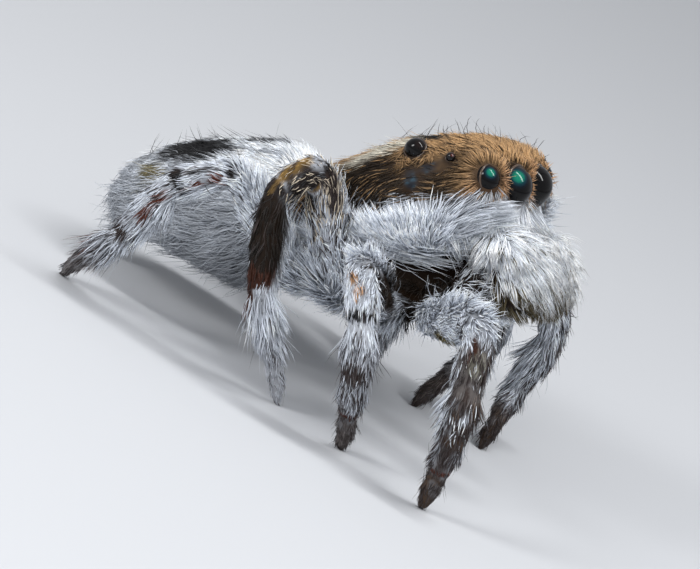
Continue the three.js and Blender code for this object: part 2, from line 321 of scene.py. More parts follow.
def leg_line(leg):
    """The joints of a leg: root, hip, knee, below the knee, ankle, foot and sole."""
    points = {s: node_points(f"{leg}_{s}") for s in SEGMENTS}
    seams = [seam_middle(points[a], points[b]) for a, b in zip(SEGMENTS, SEGMENTS[1:])]
    femur = points["femur"]
    inner = femur[np.argsort(abs(femur[:, 1]))[:ROOT_POINTS]].mean(axis=0)
    hip = femur[abs(abs(femur[:, 1]) - HIP_OUT) < HIP_SLICE].mean(axis=0)
    flat = points["tarsus"][points["tarsus"][:, 2] < SOLE_BELOW].mean(axis=0)
    return np.array([inner, hip, *seams, flat])


leg_lines = {leg: leg_line(leg) for leg in LEGS}
for leg, line in leg_lines.items():
    print(leg, "is", round(float(np.linalg.norm(np.diff(line, axis=0), axis=1).sum()), 2), "mm")

# %% Places on the animal
JOINT_BLEND = 0.22  # how softly the lie turns from one bone to the next


class Places:
    """Points on the animal, with what the coat needs to know about each."""

    def __init__(self, points, normals):
        self.points = points
        self.normals = normals
        self.body = to_body(points)
        self.node = nearest_nodes(points)
        self.leg = node_leg[self.node]
        self.kind = node_kind[self.node]
        count = len(points)
        self.bone = np.zeros(count, int)
        self.share = np.zeros(count)
        self.angle = np.zeros(count)
        self.lie = np.tile(-FORWARD, (count, 1))
        self.axis_point = points.copy()
        for number, leg in enumerate(LEGS):
            rows = np.nonzero(self.leg == number)[0]
            if len(rows):
                self.measure_leg(rows, leg_lines[leg])

    def measure_leg(self, rows, line):
        """The bone, how far along it, the angle round it and the lie of the hair."""
        points = self.points[rows]
        starts, bones = line[:-1], np.diff(line, axis=0)
        offsets = points[:, None] - starts
        shares = (offsets * bones).sum(axis=2) / (bones**2).sum(axis=1)
        inside = np.clip(shares, 0, 1)
        feet = starts + inside[..., None] * bones
        distances = np.linalg.norm(points[:, None] - feet, axis=2)
        nearest = distances.argmin(axis=1)
        pick = np.arange(len(rows)), nearest
        self.bone[rows] = nearest
        self.share[rows] = inside[pick]
        self.axis_point[rows] = feet[pick]
        closeness = np.exp(-((distances / JOINT_BLEND) ** 2))
        directions = unit(bones)
        self.lie[rows] = unit(closeness @ directions)
        front = unit(np.cross(line[2] - line[1], line[-1] - line[1]))
        front = front * np.sign(front[0])
        across = points - feet[pick]
        outer = np.cross(directions[nearest], front)
        outer = outer * np.sign(along(outer, line[3] - line[1]))[:, None]
        self.angle[rows] = np.degrees(np.arctan2(along(across, front), along(across, outer)))

    def select(self, rows):
        """The same for some of the rows."""
        chosen = object.__new__(Places)
        chosen.__dict__ = {name: value[rows] for name, value in self.__dict__.items()}
        return chosen


# %% [markdown]
# ## The skin
#
# The real spider's cuticle is one shell without a seam. The solids are a little
# larger, because they go out to the tips of the hair. So a copy of all solids of
# flesh is joined and melted into one surface by a voxel remesh. Each point then
# moves inwards by the depth of the coat at its place, and a second remesh evens
# out the mesh. Voxels are the right way here: they join fifty crossing shapes
# without a single boolean.

# %% What is flesh
HEAD, ABDOMEN, PALP, LEG, BELLY, JAW = range(6)  # kinds of flesh
NODE_KINDS = {
    "carapace": HEAD,
    "chelicera": JAW,
    "sternum": BELLY,
    "pedicel": BELLY,
    "abdomen": ABDOMEN,
    "spinnerets": ABDOMEN,
    "palp": PALP,
    "leg": LEG,
}


def kind_of(name):
    return next((kind for word, kind in NODE_KINDS.items() if name.startswith(word)), None)


flesh = sorted(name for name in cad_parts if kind_of(name) is not None)
node_kind = np.array([kind_of(name) for name in flesh])
node_leg = np.array(
    [next((i for i, leg in enumerate(LEGS) if name.startswith(leg)), -1) for name in flesh]
)
print(len(flesh), "nodes are flesh")

# %% Mesh helpers


def only(obj):
    """Makes obj the one selected and active object."""
    bpy.ops.object.select_all(action="DESELECT")
    obj.select_set(True)
    bpy.context.view_layer.objects.active = obj


def edit(obj, steps):
    """Runs steps in edit mode with everything on obj selected."""
    only(obj)
    bpy.ops.object.mode_set(mode="EDIT")
    bpy.ops.mesh.select_all(action="SELECT")
    steps()
    bpy.ops.object.mode_set(mode="OBJECT")


def joined(objects, name):
    """Many objects as one."""
    only(objects[0])
    for obj in objects:
        obj.select_set(True)
    bpy.ops.object.join()
    bpy.context.object.name = name
    return bpy.context.object


def apply_modifier(obj, kind, **settings):
    only(obj)
    modifier = obj.modifiers.new(kind.lower(), kind)
    for name, value in settings.items():
        setattr(modifier, name, value)
    bpy.ops.object.modifier_apply(modifier=modifier.name)


def rows_of(items, field, width, kind=np.float32):
    """One field of all points, edges or triangles of a mesh, as rows."""
    values = np.empty(len(items) * width, kind)
    items.foreach_get(field, values)
    return values.reshape(-1, width)


def coordinates(mesh):
    return rows_of(mesh.vertices, "co", 3).astype(float)


def point_normals(mesh):
    return rows_of(mesh.vertices, "normal", 3).astype(float)


def triangles(mesh):
    mesh.calc_loop_triangles()
    return rows_of(mesh.loop_triangles, "vertices", 3, np.int32)


def set_coordinates(mesh, points):
    mesh.vertices.foreach_set("co", points.astype(np.float32).ravel())
    mesh.update()


# %% Copies of the solids
WELD = 0.001  # points closer than this are one
GROW = 0.018  # closes the seams between the solids
PALP_FLESH = 0.71  # the part of a palp's ball that is flesh and not hair


def copy_of(name):
    """A welded copy of a node in millimetres."""
    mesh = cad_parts[name].data.copy()
    mesh.transform(Matrix.Scale(PER_MM, 4))
    mesh.materials.clear()
    obj = bpy.data.objects.new(f"copy_{name}", mesh)
    bpy.context.scene.collection.objects.link(obj)

    def close():
        bpy.ops.mesh.remove_doubles(threshold=WELD)
        if name == "carapace":
            bpy.ops.mesh.convex_hull()
        bpy.ops.transform.shrink_fatten(value=GROW)

    edit(obj, close)
    if name.startswith("palp_end"):
        points = coordinates(mesh)
        middle = (points.min(axis=0) + points.max(axis=0)) / 2
        set_coordinates(mesh, middle + PALP_FLESH * (points - middle))
    return obj


copies = [copy_of(name) for name in flesh]
tree_points, tree_faces, face_node = [], [], []
for number, copy in enumerate(copies):
    faces = triangles(copy.data)
    tree_faces += (faces + len(tree_points)).tolist()
    tree_points += coordinates(copy.data).tolist()
    face_node += [number] * len(faces)
solids_tree = BVHTree.FromPolygons(tree_points, tree_faces)
face_node = np.array(face_node)
print("copied", len(copies), "solids with", len(tree_faces), "faces")


def nearest_nodes(points):
    """For each point, the number of the nearest solid in flesh."""
    find = solids_tree.find_nearest
    return face_node[[find(point)[2] for point in points.tolist()]]


# %% Fillings between the solids
# The ring of hips and the mouth parts fill the room between head and breastplate,
# and flesh runs from the face into each palp.
BODY_FILLINGS = [  # middle and half sizes, in the body's frame
    ([-1.95, 0.0, -1.5], [1.35, 0.85, 0.42]),
    ([-0.72, 0.0, -1.45], [0.5, 0.75, 0.5]),
]
SHOULDER = np.array([-0.15, -0.78, -0.82])  # where the right palp meets the face
SHOULDER_SIZE = np.array([0.24, 0.22, 0.2])

# A collar of flesh reaches round each eye ball, up to its rim. The place of a rim
# and of a collar's middle are shares of the ball's radius ahead of its middle.
RIM_PLACE = {"eye_front_middle": 0.34, "eye_front_side": 0.25, "eye_rear": 0.2}
COLLARS = {  # place and size
    "eye_front_middle": (-0.35, 1.165),
    "eye_front_side": (-0.35, 1.17),
    "eye_rear": (-0.3, 1.14),
}
HEAD_MIDDLE = from_body([-1.4, 0.0, -0.3])


def look_direction(name, middle):
    """Which way an eye looks: the front row ahead, the others out of the head."""
    if name.startswith("eye_front"):
        splay = 0.1 if "middle" in name else 0.25
        return unit(FORWARD + splay * math.copysign(1, middle[1]) * LEFT + 0.1 * UPWARD)
    return unit(middle - HEAD_MIDDLE)


fillings = BODY_FILLINGS + [(SHOULDER * [1, sign, 1], SHOULDER_SIZE) for sign in (1, -1)]
for eye_name, (ahead, size) in COLLARS.items():
    for side_name in SIDES:
        middle, radius = node_ball(f"{eye_name}_{side_name}")
        middle = middle + ahead * radius * look_direction(eye_name, middle)
        fillings.append((to_body(middle), [size * radius] * 3))
for middle, half_sizes in fillings:
    bpy.ops.object.select_all(action="DESELECT")
    bpy.ops.mesh.primitive_uv_sphere_add(segments=24, ring_count=16)
    ball = bpy.context.object
    set_coordinates(ball.data, from_body(coordinates(ball.data) * half_sizes + middle))
    copies.append(ball)
skin = joined(copies, "skin")
print("joined", len(copies), "shapes with", len(skin.data.polygons), "faces")

# %% Depth of the coat
FIRST_VOXEL = 0.05  # a tenth of a foot's width
SECOND_VOXEL = 0.042
SPREAD_ROUNDS = 6  # rounds that soften steps in the depth
LEG_DEPTH = 0.34  # share of a leg's half thickness that is hair
FOOT_DEPTH = 0.42  # the same where a foot begins
FACE_DEPTH = 0.205  # depth of the coat on the face
ORBITS = [  # eye, how far its swelling reaches, depth of the coat on it
    ("eye_front_side", 0.2, 0.02),
    ("eye_front_middle", 0.1, 0.04),
    ("eye_rear", 0.16, 0.04),
    ("eye_small", 0.1, 0.08),
]


def coat_depth(at):
    """How far the skin lies under the tips of the hair, as vectors."""
    x, y, z = at.body.T
    head = 0.11 + 0.04 * smooth(-0.2, -0.6, z)
    face = smooth(-0.28, -0.02, x) * smooth(1.0, 0.7, abs(y))
    head = head * (1 - face) + FACE_DEPTH * face
    for name, reach, left_over in ORBITS:
        for side in SIDES:
            middle, radius = node_ball(f"{name}_{side}")
            gap = np.linalg.norm(at.points - middle, axis=1) - radius
            head = head + (left_over - head) * smooth(reach, 0.0, gap)
    depth = np.select(
        [at.kind == HEAD, at.kind == ABDOMEN, at.kind == BELLY, at.kind == JAW],
        [head, 0.12 + 0.05 * smooth(0, -0.8, z), 0.06, 0.05],
        default=0.0,
    )
    inward = -at.normals * depth[:, None]
    foot_share = FOOT_DEPTH + 0.2 * at.share + 0.2 * smooth(0.7, 1.0, at.share)
    leg_share = np.where(at.bone == TARSUS, foot_share, LEG_DEPTH)[:, None]
    to_axis = (at.axis_point - at.points) * leg_share
    return np.where((at.kind == LEG)[:, None], to_axis, inward)


def spread(field, edges, rounds):
    """Evens out a field over a mesh: each round takes the mean of the neighbours."""
    first, second = edges[:, 0], edges[:, 1]
    count = len(field)
    neighbours = np.bincount(first, minlength=count) + np.bincount(second, minlength=count)
    for _ in range(rounds):
        sums = [
            np.bincount(first, column[second], count) + np.bincount(second, column[first], count)
            for column in field.T
        ]
        field = 0.5 * field + 0.5 * np.stack(sums, axis=1) / neighbours[:, None]
    return field


# %% Melting, sinking and melting again
apply_modifier(skin, "REMESH", mode="VOXEL", voxel_size=FIRST_VOXEL)
apply_modifier(skin, "SMOOTH", factor=0.5, iterations=6)
outside = Places(coordinates(skin.data), point_normals(skin.data))
edges = rows_of(skin.data.edges, "vertices", 2, np.int32)
shift = spread(coat_depth(outside), edges, SPREAD_ROUNDS)
set_coordinates(skin.data, outside.points + shift)
apply_modifier(skin, "REMESH", mode="VOXEL", voxel_size=SECOND_VOXEL)
apply_modifier(skin, "SMOOTH", factor=0.5, iterations=5)
skin_points = coordinates(skin.data)
skin_points[:, 2] = np.maximum(skin_points[:, 2], 0.0)
set_coordinates(skin.data, skin_points)
print("the skin has", len(skin.data.polygons), "faces")

# %% [markdown]
# ## Markings
#
# Skin and coat share their markings, so they come from the same functions of place.
# On the body a place is given in the body's frame. On a leg it is given by the
# bone, the share of its length, and the angle round it: 0 degrees is the outer
# side, and positive angles turn to the front. Both sides of the animal get the
# same markings that way, though its legs stand differently.

# %% Colours of hair and cuticle
TAN = linear("#c29c70")
PINK_TAN = linear("#c29872")
FLANK_BROWN = linear("#382919")
DEEP_BROWN = linear("#231a11")
CREAM = linear("#e4dfd0")
WHITE = linear("#edf2fa")
BLUE_WHITE = linear("#e3e9f3")
SHIN_GREY = linear("#6c6867")
GREY = linear("#8f939a")
BLACK_HAIR = linear("#1b1b1d")
OLIVE = linear("#847950")
GOLD = linear("#a5742c")
RED_BROWN = linear("#5e2e1f")
FOOT_BROWN = linear("#57473b")
BARE_GLINT_BLUE = linear("#24404f")
BARE_DARK = linear("#10161f")
DARK_HAIR = linear("#3d3534")
CUTICLE = linear("#21160f")
OLD_GOLD = mix(GOLD, OLIVE, 0.5)
DARK_RED = mix(RED_BROWN, DEEP_BROWN, 0.6)

# %% Where the eyes are
EYES = ["eye_front_middle", "eye_front_side", "eye_small", "eye_rear"]
SMALL_EYE_SHOWN = 0.84  # the lids of hair leave this much of the smallest eyes
eye_facts = {}  # middle, radius and direction of each
for name in (f"{eye}_{side}" for eye in EYES for side in SIDES):
    middle, radius = node_ball(name)
    if name.startswith("eye_small"):
        radius = SMALL_EYE_SHOWN * radius
    eye_facts[name] = (middle, radius, look_direction(name, middle))
eye_middles = np.array([fact[0] for fact in eye_facts.values()])
eye_radii = np.array([fact[1] for fact in eye_facts.values()])


def eye_gap(points):
    """How far points are from the edge of the nearest eye ball."""
    away = np.linalg.norm(points[:, None] - eye_middles, axis=2) - eye_radii
    return away.min(axis=1)


def from_eye(points):
    """The direction away from the nearest eye."""
    away = points[:, None] - eye_middles
    nearest = (np.linalg.norm(away, axis=2) - eye_radii).argmin(axis=1)
    return unit(away[np.arange(len(points)), nearest])


# %% Shapes of marks


def blob(points, middle, radii, soft=0.3):
    """1 inside an oval, 0 outside it, with a soft edge."""
    away = np.linalg.norm((points - np.array(middle)) / np.array(radii), axis=1)
    return smooth(1 + soft, 1 - soft, away)


def stripe(points, start, end, width, soft=0.4):
    """1 near the straight line from start to end."""
    start, end = np.array(start), np.array(end)
    run = end - start
    share = np.clip((points - start) @ run / (run @ run), 0, 1)
    away = np.linalg.norm(points - start - share[:, None] * run, axis=1) / width
    return smooth(1 + soft, 1 - soft, away)


def one_side(at):
    """Places in the body's frame, the left half mirrored onto the right."""
    return at.body * [1, 0, 1] + np.abs(at.body) * [0, -1, 0]


# %% Markings of the head
BARE_LINES = [  # start, end and width, on the right side
    ([-1.4, -1.46, 0.09], [-1.34, -1.46, -0.08], 0.1),
    ([-1.3, -1.43, 0.1], [-1.16, -1.36, 0.19], 0.07),
    ([-1.16, -1.36, 0.19], [-0.92, -1.27, 0.41], 0.1),
]
STREAK = [[-2.5, -1.14, 0.12], [-1.98, -0.92, 0.44], [-1.62, -0.5, 0.62]]
DARK_SPOT = ([-1.5, -0.52, 0.62], [0.33, 0.2, 0.25])  # middle and radii


def cheek_line(x):
    """The height at which the tan cap ends and the white mane begins."""
    return -0.06 + 0.2 * x - 0.16 * smooth(-0.3, 0.05, x)


def rise(at):
    """The angle above the cheek line, seen along the body, in degrees."""
    x, y, z = at.body.T
    return np.degrees(np.arctan2(z - cheek_line(x), abs(y) + 0.05))


def bare_spots(at, ahead=(0.0, 0.0, 0.0), wider=1.0):
    """1 on the bare glossy marks behind the side eyes, 0 elsewhere."""
    here = one_side(at)
    start = np.array(ahead)
    return np.max([stripe(here, a + start, b + start, wider * w) for a, b, w in BARE_LINES], axis=0)


def in_streak(at, width=0.17):
    """1 on the pale streak along the rear edge of the cap, 0 elsewhere."""
    here = one_side(at)
    return np.max([stripe(here, a, b, width) for a, b in zip(STREAK, STREAK[1:])], axis=0)


def head_colour(at):
    here = one_side(at)
    x, y, z = here.T
    level = rise(at) + 5 * ripple(at.points, 0.35, 1)
    flank = smooth(46, 14, level) * smooth(-0.4, -0.85, x)
    cap = layered(
        TAN,
        (FLANK_BROWN, 0.97 * flank),
        (DEEP_BROWN, 0.9 * flank * smooth(-1.1, -2.1, x)),
        (PINK_TAN, smooth(-0.65, -0.25, x) * smooth(0.4, 0.15, z)),
        (RED_BROWN, 0.5 * smooth(-0.15, 0.0, x) * smooth(0.25, 0.4, z)),
        (CREAM, in_streak(at)),
        (BLACK_HAIR, blob(here, *DARK_SPOT)),
    )
    dusk = 0.55 * smooth(-1.25, -0.85, x) * smooth(-0.25, -0.45, x)
    mane = layered(BLUE_WHITE, (WHITE, smooth(-0.6, 0.0, x)), (GREY, dusk))
    return mix(cap, mane, smooth(0.04, -0.04, z - cheek_line(x)))


# %% Markings of the abdomen
ABDOMEN_PATCHES = [  # middle, radii, colour, strength
    ([-5.42, -0.6, -0.08], [0.7, 0.5, 0.42], BLACK_HAIR, 1.0),
    ([-4.5, 0.0, 0.15], [0.4, 0.3, 0.3], BLACK_HAIR, 0.9),
    ([-5.55, 0.0, 0.05], [0.3, 0.14, 0.3], BLACK_HAIR, 0.8),
    ([-4.25, -0.55, 0.08], [0.13, 0.12, 0.2], GREY, 0.8),
    ([-3.98, -0.5, 0.0], [0.12, 0.1, 0.2], GREY, 0.8),
    ([-6.0, -1.0, -0.55], [0.3, 0.34, 0.2], OLIVE * 0.9, 0.95),
    ([-6.35, -0.45, -0.35], [0.2, 0.25, 0.25], BLACK_HAIR, 0.7),
]


def abdomen_colour(at):
    here = one_side(at)
    z = here[:, 2]
    grain = ripple(at.points, 0.2, 2)
    side = smooth(-0.25, -0.9, z + 0.08 * grain)
    colour = layered(WHITE, (GREY, 0.7 * side), (GREY * 0.6, 0.55 * smooth(-1.4, -1.9, z)))
    for middle, radii, patch, strength in ABDOMEN_PATCHES:
        edge = np.array(radii) * (1 + 0.15 * grain[:, None])
        colour = mix(colour, patch, strength * blob(here, middle, edge))
    return colour


# %% Markings of the legs
LEG_MARKS = [  # leg numbers, bone, share, half share, angle, half angle, colour
    ([1, 2, 3, 4], PATELLA, 0.97, 0.09, 0, 150, BLACK_HAIR),
    ([1, 2, 4], TIBIA, 0.95, 0.07, 0, 120, DARK_HAIR),
    ([1, 2, 4], METATARSUS, 0.96, 0.09, 0, 70, RED_BROWN),
    ([1, 2, 4], FEMUR, 0.95, 0.05, 0, 90, BLACK_HAIR),
    ([1], FEMUR, 0.45, 0.14, -30, 30, OLIVE),
    ([1], PATELLA, 0.75, 0.4, 0, 85, SHIN_GREY),
    ([1], PATELLA, 0.6, 0.35, 45, 18, DARK_HAIR),
    ([1], PATELLA, 0.4, 0.25, -24, 16, DARK_RED),
    ([1], PATELLA, 0.66, 0.2, -4, 26, mix(OLIVE, GREY, 0.5)),
    ([1], TIBIA, 0.25, 0.35, 0, 100, SHIN_GREY),
    ([1], TIBIA, 0.3, 0.3, -16, 16, DARK_HAIR),
    ([1], TIBIA, 0.62, 0.3, 40, 22, FOOT_BROWN),
    ([1], TIBIA, 0.75, 0.2, -45, 18, FOOT_BROWN),
    ([1], METATARSUS, 0.1, 0.16, 0, 75, FOOT_BROWN),
    ([1], METATARSUS, 0.5, 0.4, -20, 25, DARK_HAIR),
    # Painted shade: the front of the second leg's thigh, in the shade under the mane.
    ([2], FEMUR, 0.5, 0.5, 90, 55, DEEP_BROWN),
    ([2], PATELLA, 0.2, 0.1, -18, 13, PINK_TAN),
    ([2], PATELLA, 0.5, 0.1, 4, 16, PINK_TAN),
    ([2], TIBIA, 0.45, 0.12, 8, 20, GREY),
    ([3], FEMUR, 0.97, 0.13, 10, 50, OLD_GOLD),
    # Painted shade: dark marks near the knee of the third leg's thigh stand in for its shadow.
    ([3], FEMUR, 0.72, 0.1, -20, 45, BLACK_HAIR),
    ([3], FEMUR, 0.85, 0.22, 95, 40, DARK_HAIR),
    ([3], PATELLA, 0.5, 0.5, 8, 28, OLD_GOLD),
    ([3], PATELLA, 0.5, 0.65, 90, 70, BLACK_HAIR),
    ([3], METATARSUS, 0.12, 0.22, -30, 30, DARK_RED),
    # Partly painted shade: the third leg's tibia is dark brown, and this mark is made wider and
    # darker to take in the shade beside it.
    ([3], TIBIA, 0.42, 0.66, 25, 112, DEEP_BROWN * 0.5),
    ([3], TIBIA, 0.98, 0.14, 0, 110, DARK_RED),
    ([4], PATELLA, 0.04, 0.09, 35, 36, BLACK_HAIR),
    ([4], PATELLA, 0.36, 0.13, 64, 17, RED_BROWN),
    ([4], PATELLA, 0.66, 0.1, 70, 17, RED_BROWN),
    ([4], PATELLA, 0.5, 0.3, 20, 7, BLACK_HAIR),
    ([4], TIBIA, 0.24, 0.12, 70, 20, RED_BROWN),
    ([4], TIBIA, 0.52, 0.12, 70, 20, RED_BROWN),
]
DARK_FEET = np.array([1.0, 0.8, 0.3, 0.75])  # for each pair of legs
DARK_SHINS = np.array([0.6, 0.35, 0.0, 0.2])


def turn_between(first, second):
    """The difference of two angles, from -180 to 180."""
    return (first - second + 180) % 360 - 180


def leg_colour(at):
    pair = at.leg % 4
    number = pair + 1
    grain = ripple(at.points, 0.16, 3)
    length = at.bone + at.share
    dark_shins = less(DARK_SHINS[pair], 0.7 * smooth(80, 130, abs(at.angle)))
    inner = smooth(100, 140, abs(at.angle)) * smooth(2.8, 3.3, length) * (number == 2)
    # Painted shade: the inner ends of the first two pairs of legs, under the body, are dark brown.
    painted_shade_under_body = smooth(0.85, 0.55, at.share) * (at.bone == COXA) * (number <= 2)
    colour = layered(
        BLUE_WHITE,
        (GREY * 0.5, dark_shins * smooth(2.8, 3.8, length + 0.3 * grain)),
        (FOOT_BROWN, DARK_FEET[pair] * smooth(4.5, 5.2, length + 0.25 * grain)),
        (GREY, 0.5 * smooth(0.35, 0.8, grain)),
        (FOOT_BROWN, 0.6 * inner),
        (DEEP_BROWN, painted_shade_under_body),
    )
    for legs, bone, share, half, angle, half_angle, mark in LEG_MARKS:
        away = np.hypot((at.share - share) / half, turn_between(at.angle, angle) / half_angle)
        inside = np.isin(number, legs) & (at.bone == bone)
        colour = mix(colour, mark, inside * smooth(1.3, 0.7, away + 0.25 * grain))
    return colour


# %% Markings of the palps, and all markings


def palp_rear(at):
    """How far a place is towards the rear and underside of its palp's ball."""
    x, y, z = at.body.T
    return -0.8 * (x - 0.2) - 0.6 * (z + 1.27)


def palp_colour(at):
    z = at.body[:, 2]
    tip = smooth(-1.7, -1.95, z + 0.05 * ripple(at.points, 0.2, 4))
    colour = mix(WHITE, OLIVE * 0.7, tip)
    stem = np.char.startswith(np.array(flesh)[at.node], "palp_base")
    return mix(colour, DEEP_BROWN, stem.astype(float))


def belly_colour(at):
    return mix(GREY, DEEP_BROWN, smooth(-1.9, -1.2, at.body[:, 0]))


def jaw_colour(at):
    return mix(FLANK_BROWN, WHITE, smooth(-0.8, -0.65, at.body[:, 2]))


PAINTS = {
    HEAD: head_colour,
    ABDOMEN: abdomen_colour,
    LEG: leg_colour,
    PALP: palp_colour,
    BELLY: belly_colour,
    JAW: jaw_colour,
}


def coat_colour(at):
    """The colour of hair that grows at each place."""
    colour = np.zeros((len(at.points), 3))
    for kind, paint in PAINTS.items():
        rows = at.kind == kind
        if rows.any():
            colour[rows] = paint(at.select(rows))
    return colour


# %% Colour of the skin
# How much of the hair's colour the skin under it takes, by kind of flesh. Downy
# hair too small to model covers the skin, most of it on the body and the palps.
SKIN_SHARE = np.array([0.55, 0.6, 0.5, 0.5, 0.3, 0.3])


def cheek_end(x):
    """The height at which the cheek ends and the dark mouth parts begin."""
    return -1.3 + 0.6 * smooth(-1.3, -0.4, x)


def skin_colour(at):
    """Dark cuticle that takes some of the colour of the hair above it."""
    x, y, z = at.body.T
    head, palp = at.kind == HEAD, at.kind == PALP
    cheek = z < cheek_line(x)
    front = head * smooth(-1.3, -0.8, x) * cheek
    share = less(SKIN_SHARE[at.kind], 0.7 * palp * smooth(-1.15, -1.6, z))
    share = share + 0.3 * smooth(-0.35, -0.15, x) * cheek * (z > -0.8)
    share = less(
        share,
        head * smooth(cheek_end(x) + 0.08, cheek_end(x) - 0.08, z),
        palp * smooth(0.03, 0.1, palp_rear(at)),
        0.5 * head * (z > cheek_line(x)),
        0.6 * front * smooth(-0.2, -0.5, x),
        0.7 * head * smooth(0.1, 0.02, eye_gap(at.points)),
    )
    colour = mix(CUTICLE, coat_colour(at), share)
    # Painted glints: light blue spots on the blue-black bare marks stand in for their shine.
    glint = smooth(0.1, 0.8, ripple(at.points, 0.05, 5))
    return mix(colour, mix(BARE_DARK, BARE_GLINT_BLUE, glint), bare_spots(at) * head)


# %% Colour and grain on a mesh
SKIN_PIT_MM = 0.06  # the pits that hairs grow from are finer; this coarse, they show


def store_colour(mesh, name, colours):
    """One linear colour for each point of a mesh."""
    layer = mesh.color_attributes.new(name, "FLOAT_COLOR", "POINT")
    values = np.c_[np.clip(colours, 0, 1), np.ones(len(colours))]
    layer.data.foreach_set("color", values.astype(np.float32).ravel())


def store_number(mesh, name, numbers):
    layer = mesh.attributes.new(name, "FLOAT", "POINT")
    layer.data.foreach_set("value", numbers.astype(np.float32))


def grained_marking(tree, spacing_mm, detail, low, high):
    """The marking's colour, lighter and darker in a fine grain, and that grain."""
    colour = add_node(tree, "ShaderNodeAttribute", attribute_name="marking")
    where = add_node(tree, "ShaderNodeTexCoord")
    scale = 1 / (spacing_mm * MM)
    grain = add_node(
        tree, "ShaderNodeTexNoise", {"Vector": where.outputs["Object"]}, Scale=scale, Detail=detail
    )
    shade = add_node(
        tree, "ShaderNodeMapRange", {"Value": grain.outputs[0]}, To_Min=low, To_Max=high
    )
    links = {0: colour.outputs["Color"], 1: shade.outputs[0]}
    tint = add_node(tree, "ShaderNodeVectorMath", links, operation="MULTIPLY")
    return tint.outputs[0], grain.outputs[0]


def cuticle_material():
    """Chitin: a hard brown skin with a soft shine, pitted where hairs grow."""
    material, tree = new_material("spider_cuticle")
    tint, grain = grained_marking(tree, SKIN_PIT_MM, 3.0, 0.65, 1.35)
    bare = add_node(tree, "ShaderNodeAttribute", attribute_name="bare")
    gloss = add_node(
        tree, "ShaderNodeMapRange", {"Value": bare.outputs["Fac"]}, To_Min=0.6, To_Max=0.42
    )
    dents = add_node(tree, "ShaderNodeBump", {"Height": grain}, Strength=0.35, Distance=0.01 * MM)
    links = {"Base Color": tint, "Roughness": gloss.outputs[0], "Normal": dents.outputs[0]}
    shader = add_node(
        tree, "ShaderNodeBsdfPrincipled", links, IOR=1.56, Specular_IOR_Level=0.12
    )
    add_node(tree, "ShaderNodeOutputMaterial", {"Surface": shader.outputs[0]})
    return material


# %% The finished skin


def finish_piece(obj, material, replaced=()):
    """Scales a piece to metres, gives it its finish and tells the frame about it."""
    obj.data.transform(Matrix.Scale(MM, 4))
    obj.data.materials.clear()
    obj.data.materials.append(material)
    obj.data.polygons.foreach_set("use_smooth", np.ones(len(obj.data.polygons), bool))
    obj.data.update()
    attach(obj, "root")
    if replaced:
        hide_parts(*replaced)


skin_faces = triangles(skin.data)
skin_normals = point_normals(skin.data)
skin_at = Places(skin_points, skin_normals)
is_head = skin_at.kind == HEAD
store_colour(skin.data, "marking", skin_colour(skin_at))
store_number(skin.data, "bare", bare_spots(skin_at) * is_head)
finish_piece(skin, cuticle_material(), flesh)
print("skin:", len(skin_faces), "triangles")

# %% [markdown]
# ## Eyes
#
# A jumping spider has eight eyes in three rows. The lens of each is a smooth round
# window of clear cuticle, black because all light goes in. Each lens has a glow
# painted into its colour on the outer upper side, where the key lamp's highlight
# falls on the right eyes. It is green on the four in front, dark red on the smallest
# and near black on the rear ones. Each ball is set where the solids have it, with a
# thin dark rim where it leaves the skin.

# %% Lens finish
GLOW_STEPS = (0.35, 0.75)  # how far in the glow has its first two tints


def lens_material(name, tints, gloss=0.25):
    """Clear cuticle over a dark ball: black and very smooth. Its colour has a painted
    glow round one spot, weaker away from it, in place of coloured reflected light."""
    material, tree = new_material(name)
    sheen = add_node(tree, "ShaderNodeAttribute", attribute_name="painted_glow")
    ramp = add_node(tree, "ShaderNodeValToRGB", {"Fac": sheen.outputs["Fac"]})
    ramp.color_ramp.elements[0].color = rgba("#060506")
    ramp.color_ramp.elements[-1].color = rgba(tints[-1])
    for place, tint in zip(GLOW_STEPS, tints):
        ramp.color_ramp.elements.new(place).color = rgba(tint)
    shader = add_node(
        tree,
        "ShaderNodeBsdfPrincipled",
        {"Base Color": ramp.outputs["Color"]},
        Roughness=0.03,
        IOR=1.45,
        Specular_IOR_Level=gloss,
    )
    add_node(tree, "ShaderNodeOutputMaterial", {"Surface": shader.outputs[0]})
    return material


# Each lens has a painted glow in its tints: green in front, near black at the rear, dark red on the
# smallest eyes.
LENSES = {
    "front": lens_material("green_glow_painted_lens", ["#040f1a", "#052f38", "#11705a"]),
    "rear": lens_material("black_lens", ["#0a0606", "#100908", "#160d0b"], 0.28),
    "small": lens_material("red_glow_painted_lens", ["#120807", "#2a100d", "#4a1a14"], 0.45),
}

# %% Eye balls
# The middle of the painted glow, near the key lamp's highlight on the right eyes.
GLOW_TOWARD = unit(np.array([0.34, 0.42, 0.84]) @ VIEW_AXES)  # for the right eyes
GLOW_EDGE = 0.8  # cosine of the angle at which the glow ends

for name, (middle, radius, look) in eye_facts.items():
    bpy.ops.object.select_all(action="DESELECT")
    bpy.ops.mesh.primitive_uv_sphere_add(segments=48, ring_count=24, radius=radius)
    eye = bpy.context.object
    eye.name = f"lens_{name[4:]}"
    points = coordinates(eye.data)
    toward = GLOW_TOWARD * [1, -1, 1] if name.endswith("left") else GLOW_TOWARD
    store_number(eye.data, "painted_glow", smooth(GLOW_EDGE, 1.0, points @ toward / radius))
    set_coordinates(eye.data, points + middle)
    finish_piece(eye, LENSES[name.split("_")[1]], [name])
print("set", len(eye_facts), "eyes")

# %% Rims round the eyes
RIM_THICKNESS = {  # radius of the ring's own tube
    "eye_front_middle": 0.022,
    "eye_front_side": 0.018,
    "eye_small": 0.01,
    "eye_rear": 0.016,
}
RIM_RANGE = (-0.3, 0.85)  # lowest and highest place of a rim, in radii of its ball
RIM_GRAIN_MM = 1 / 9  # a polish has no grain; this coarse, a rim looks uneven


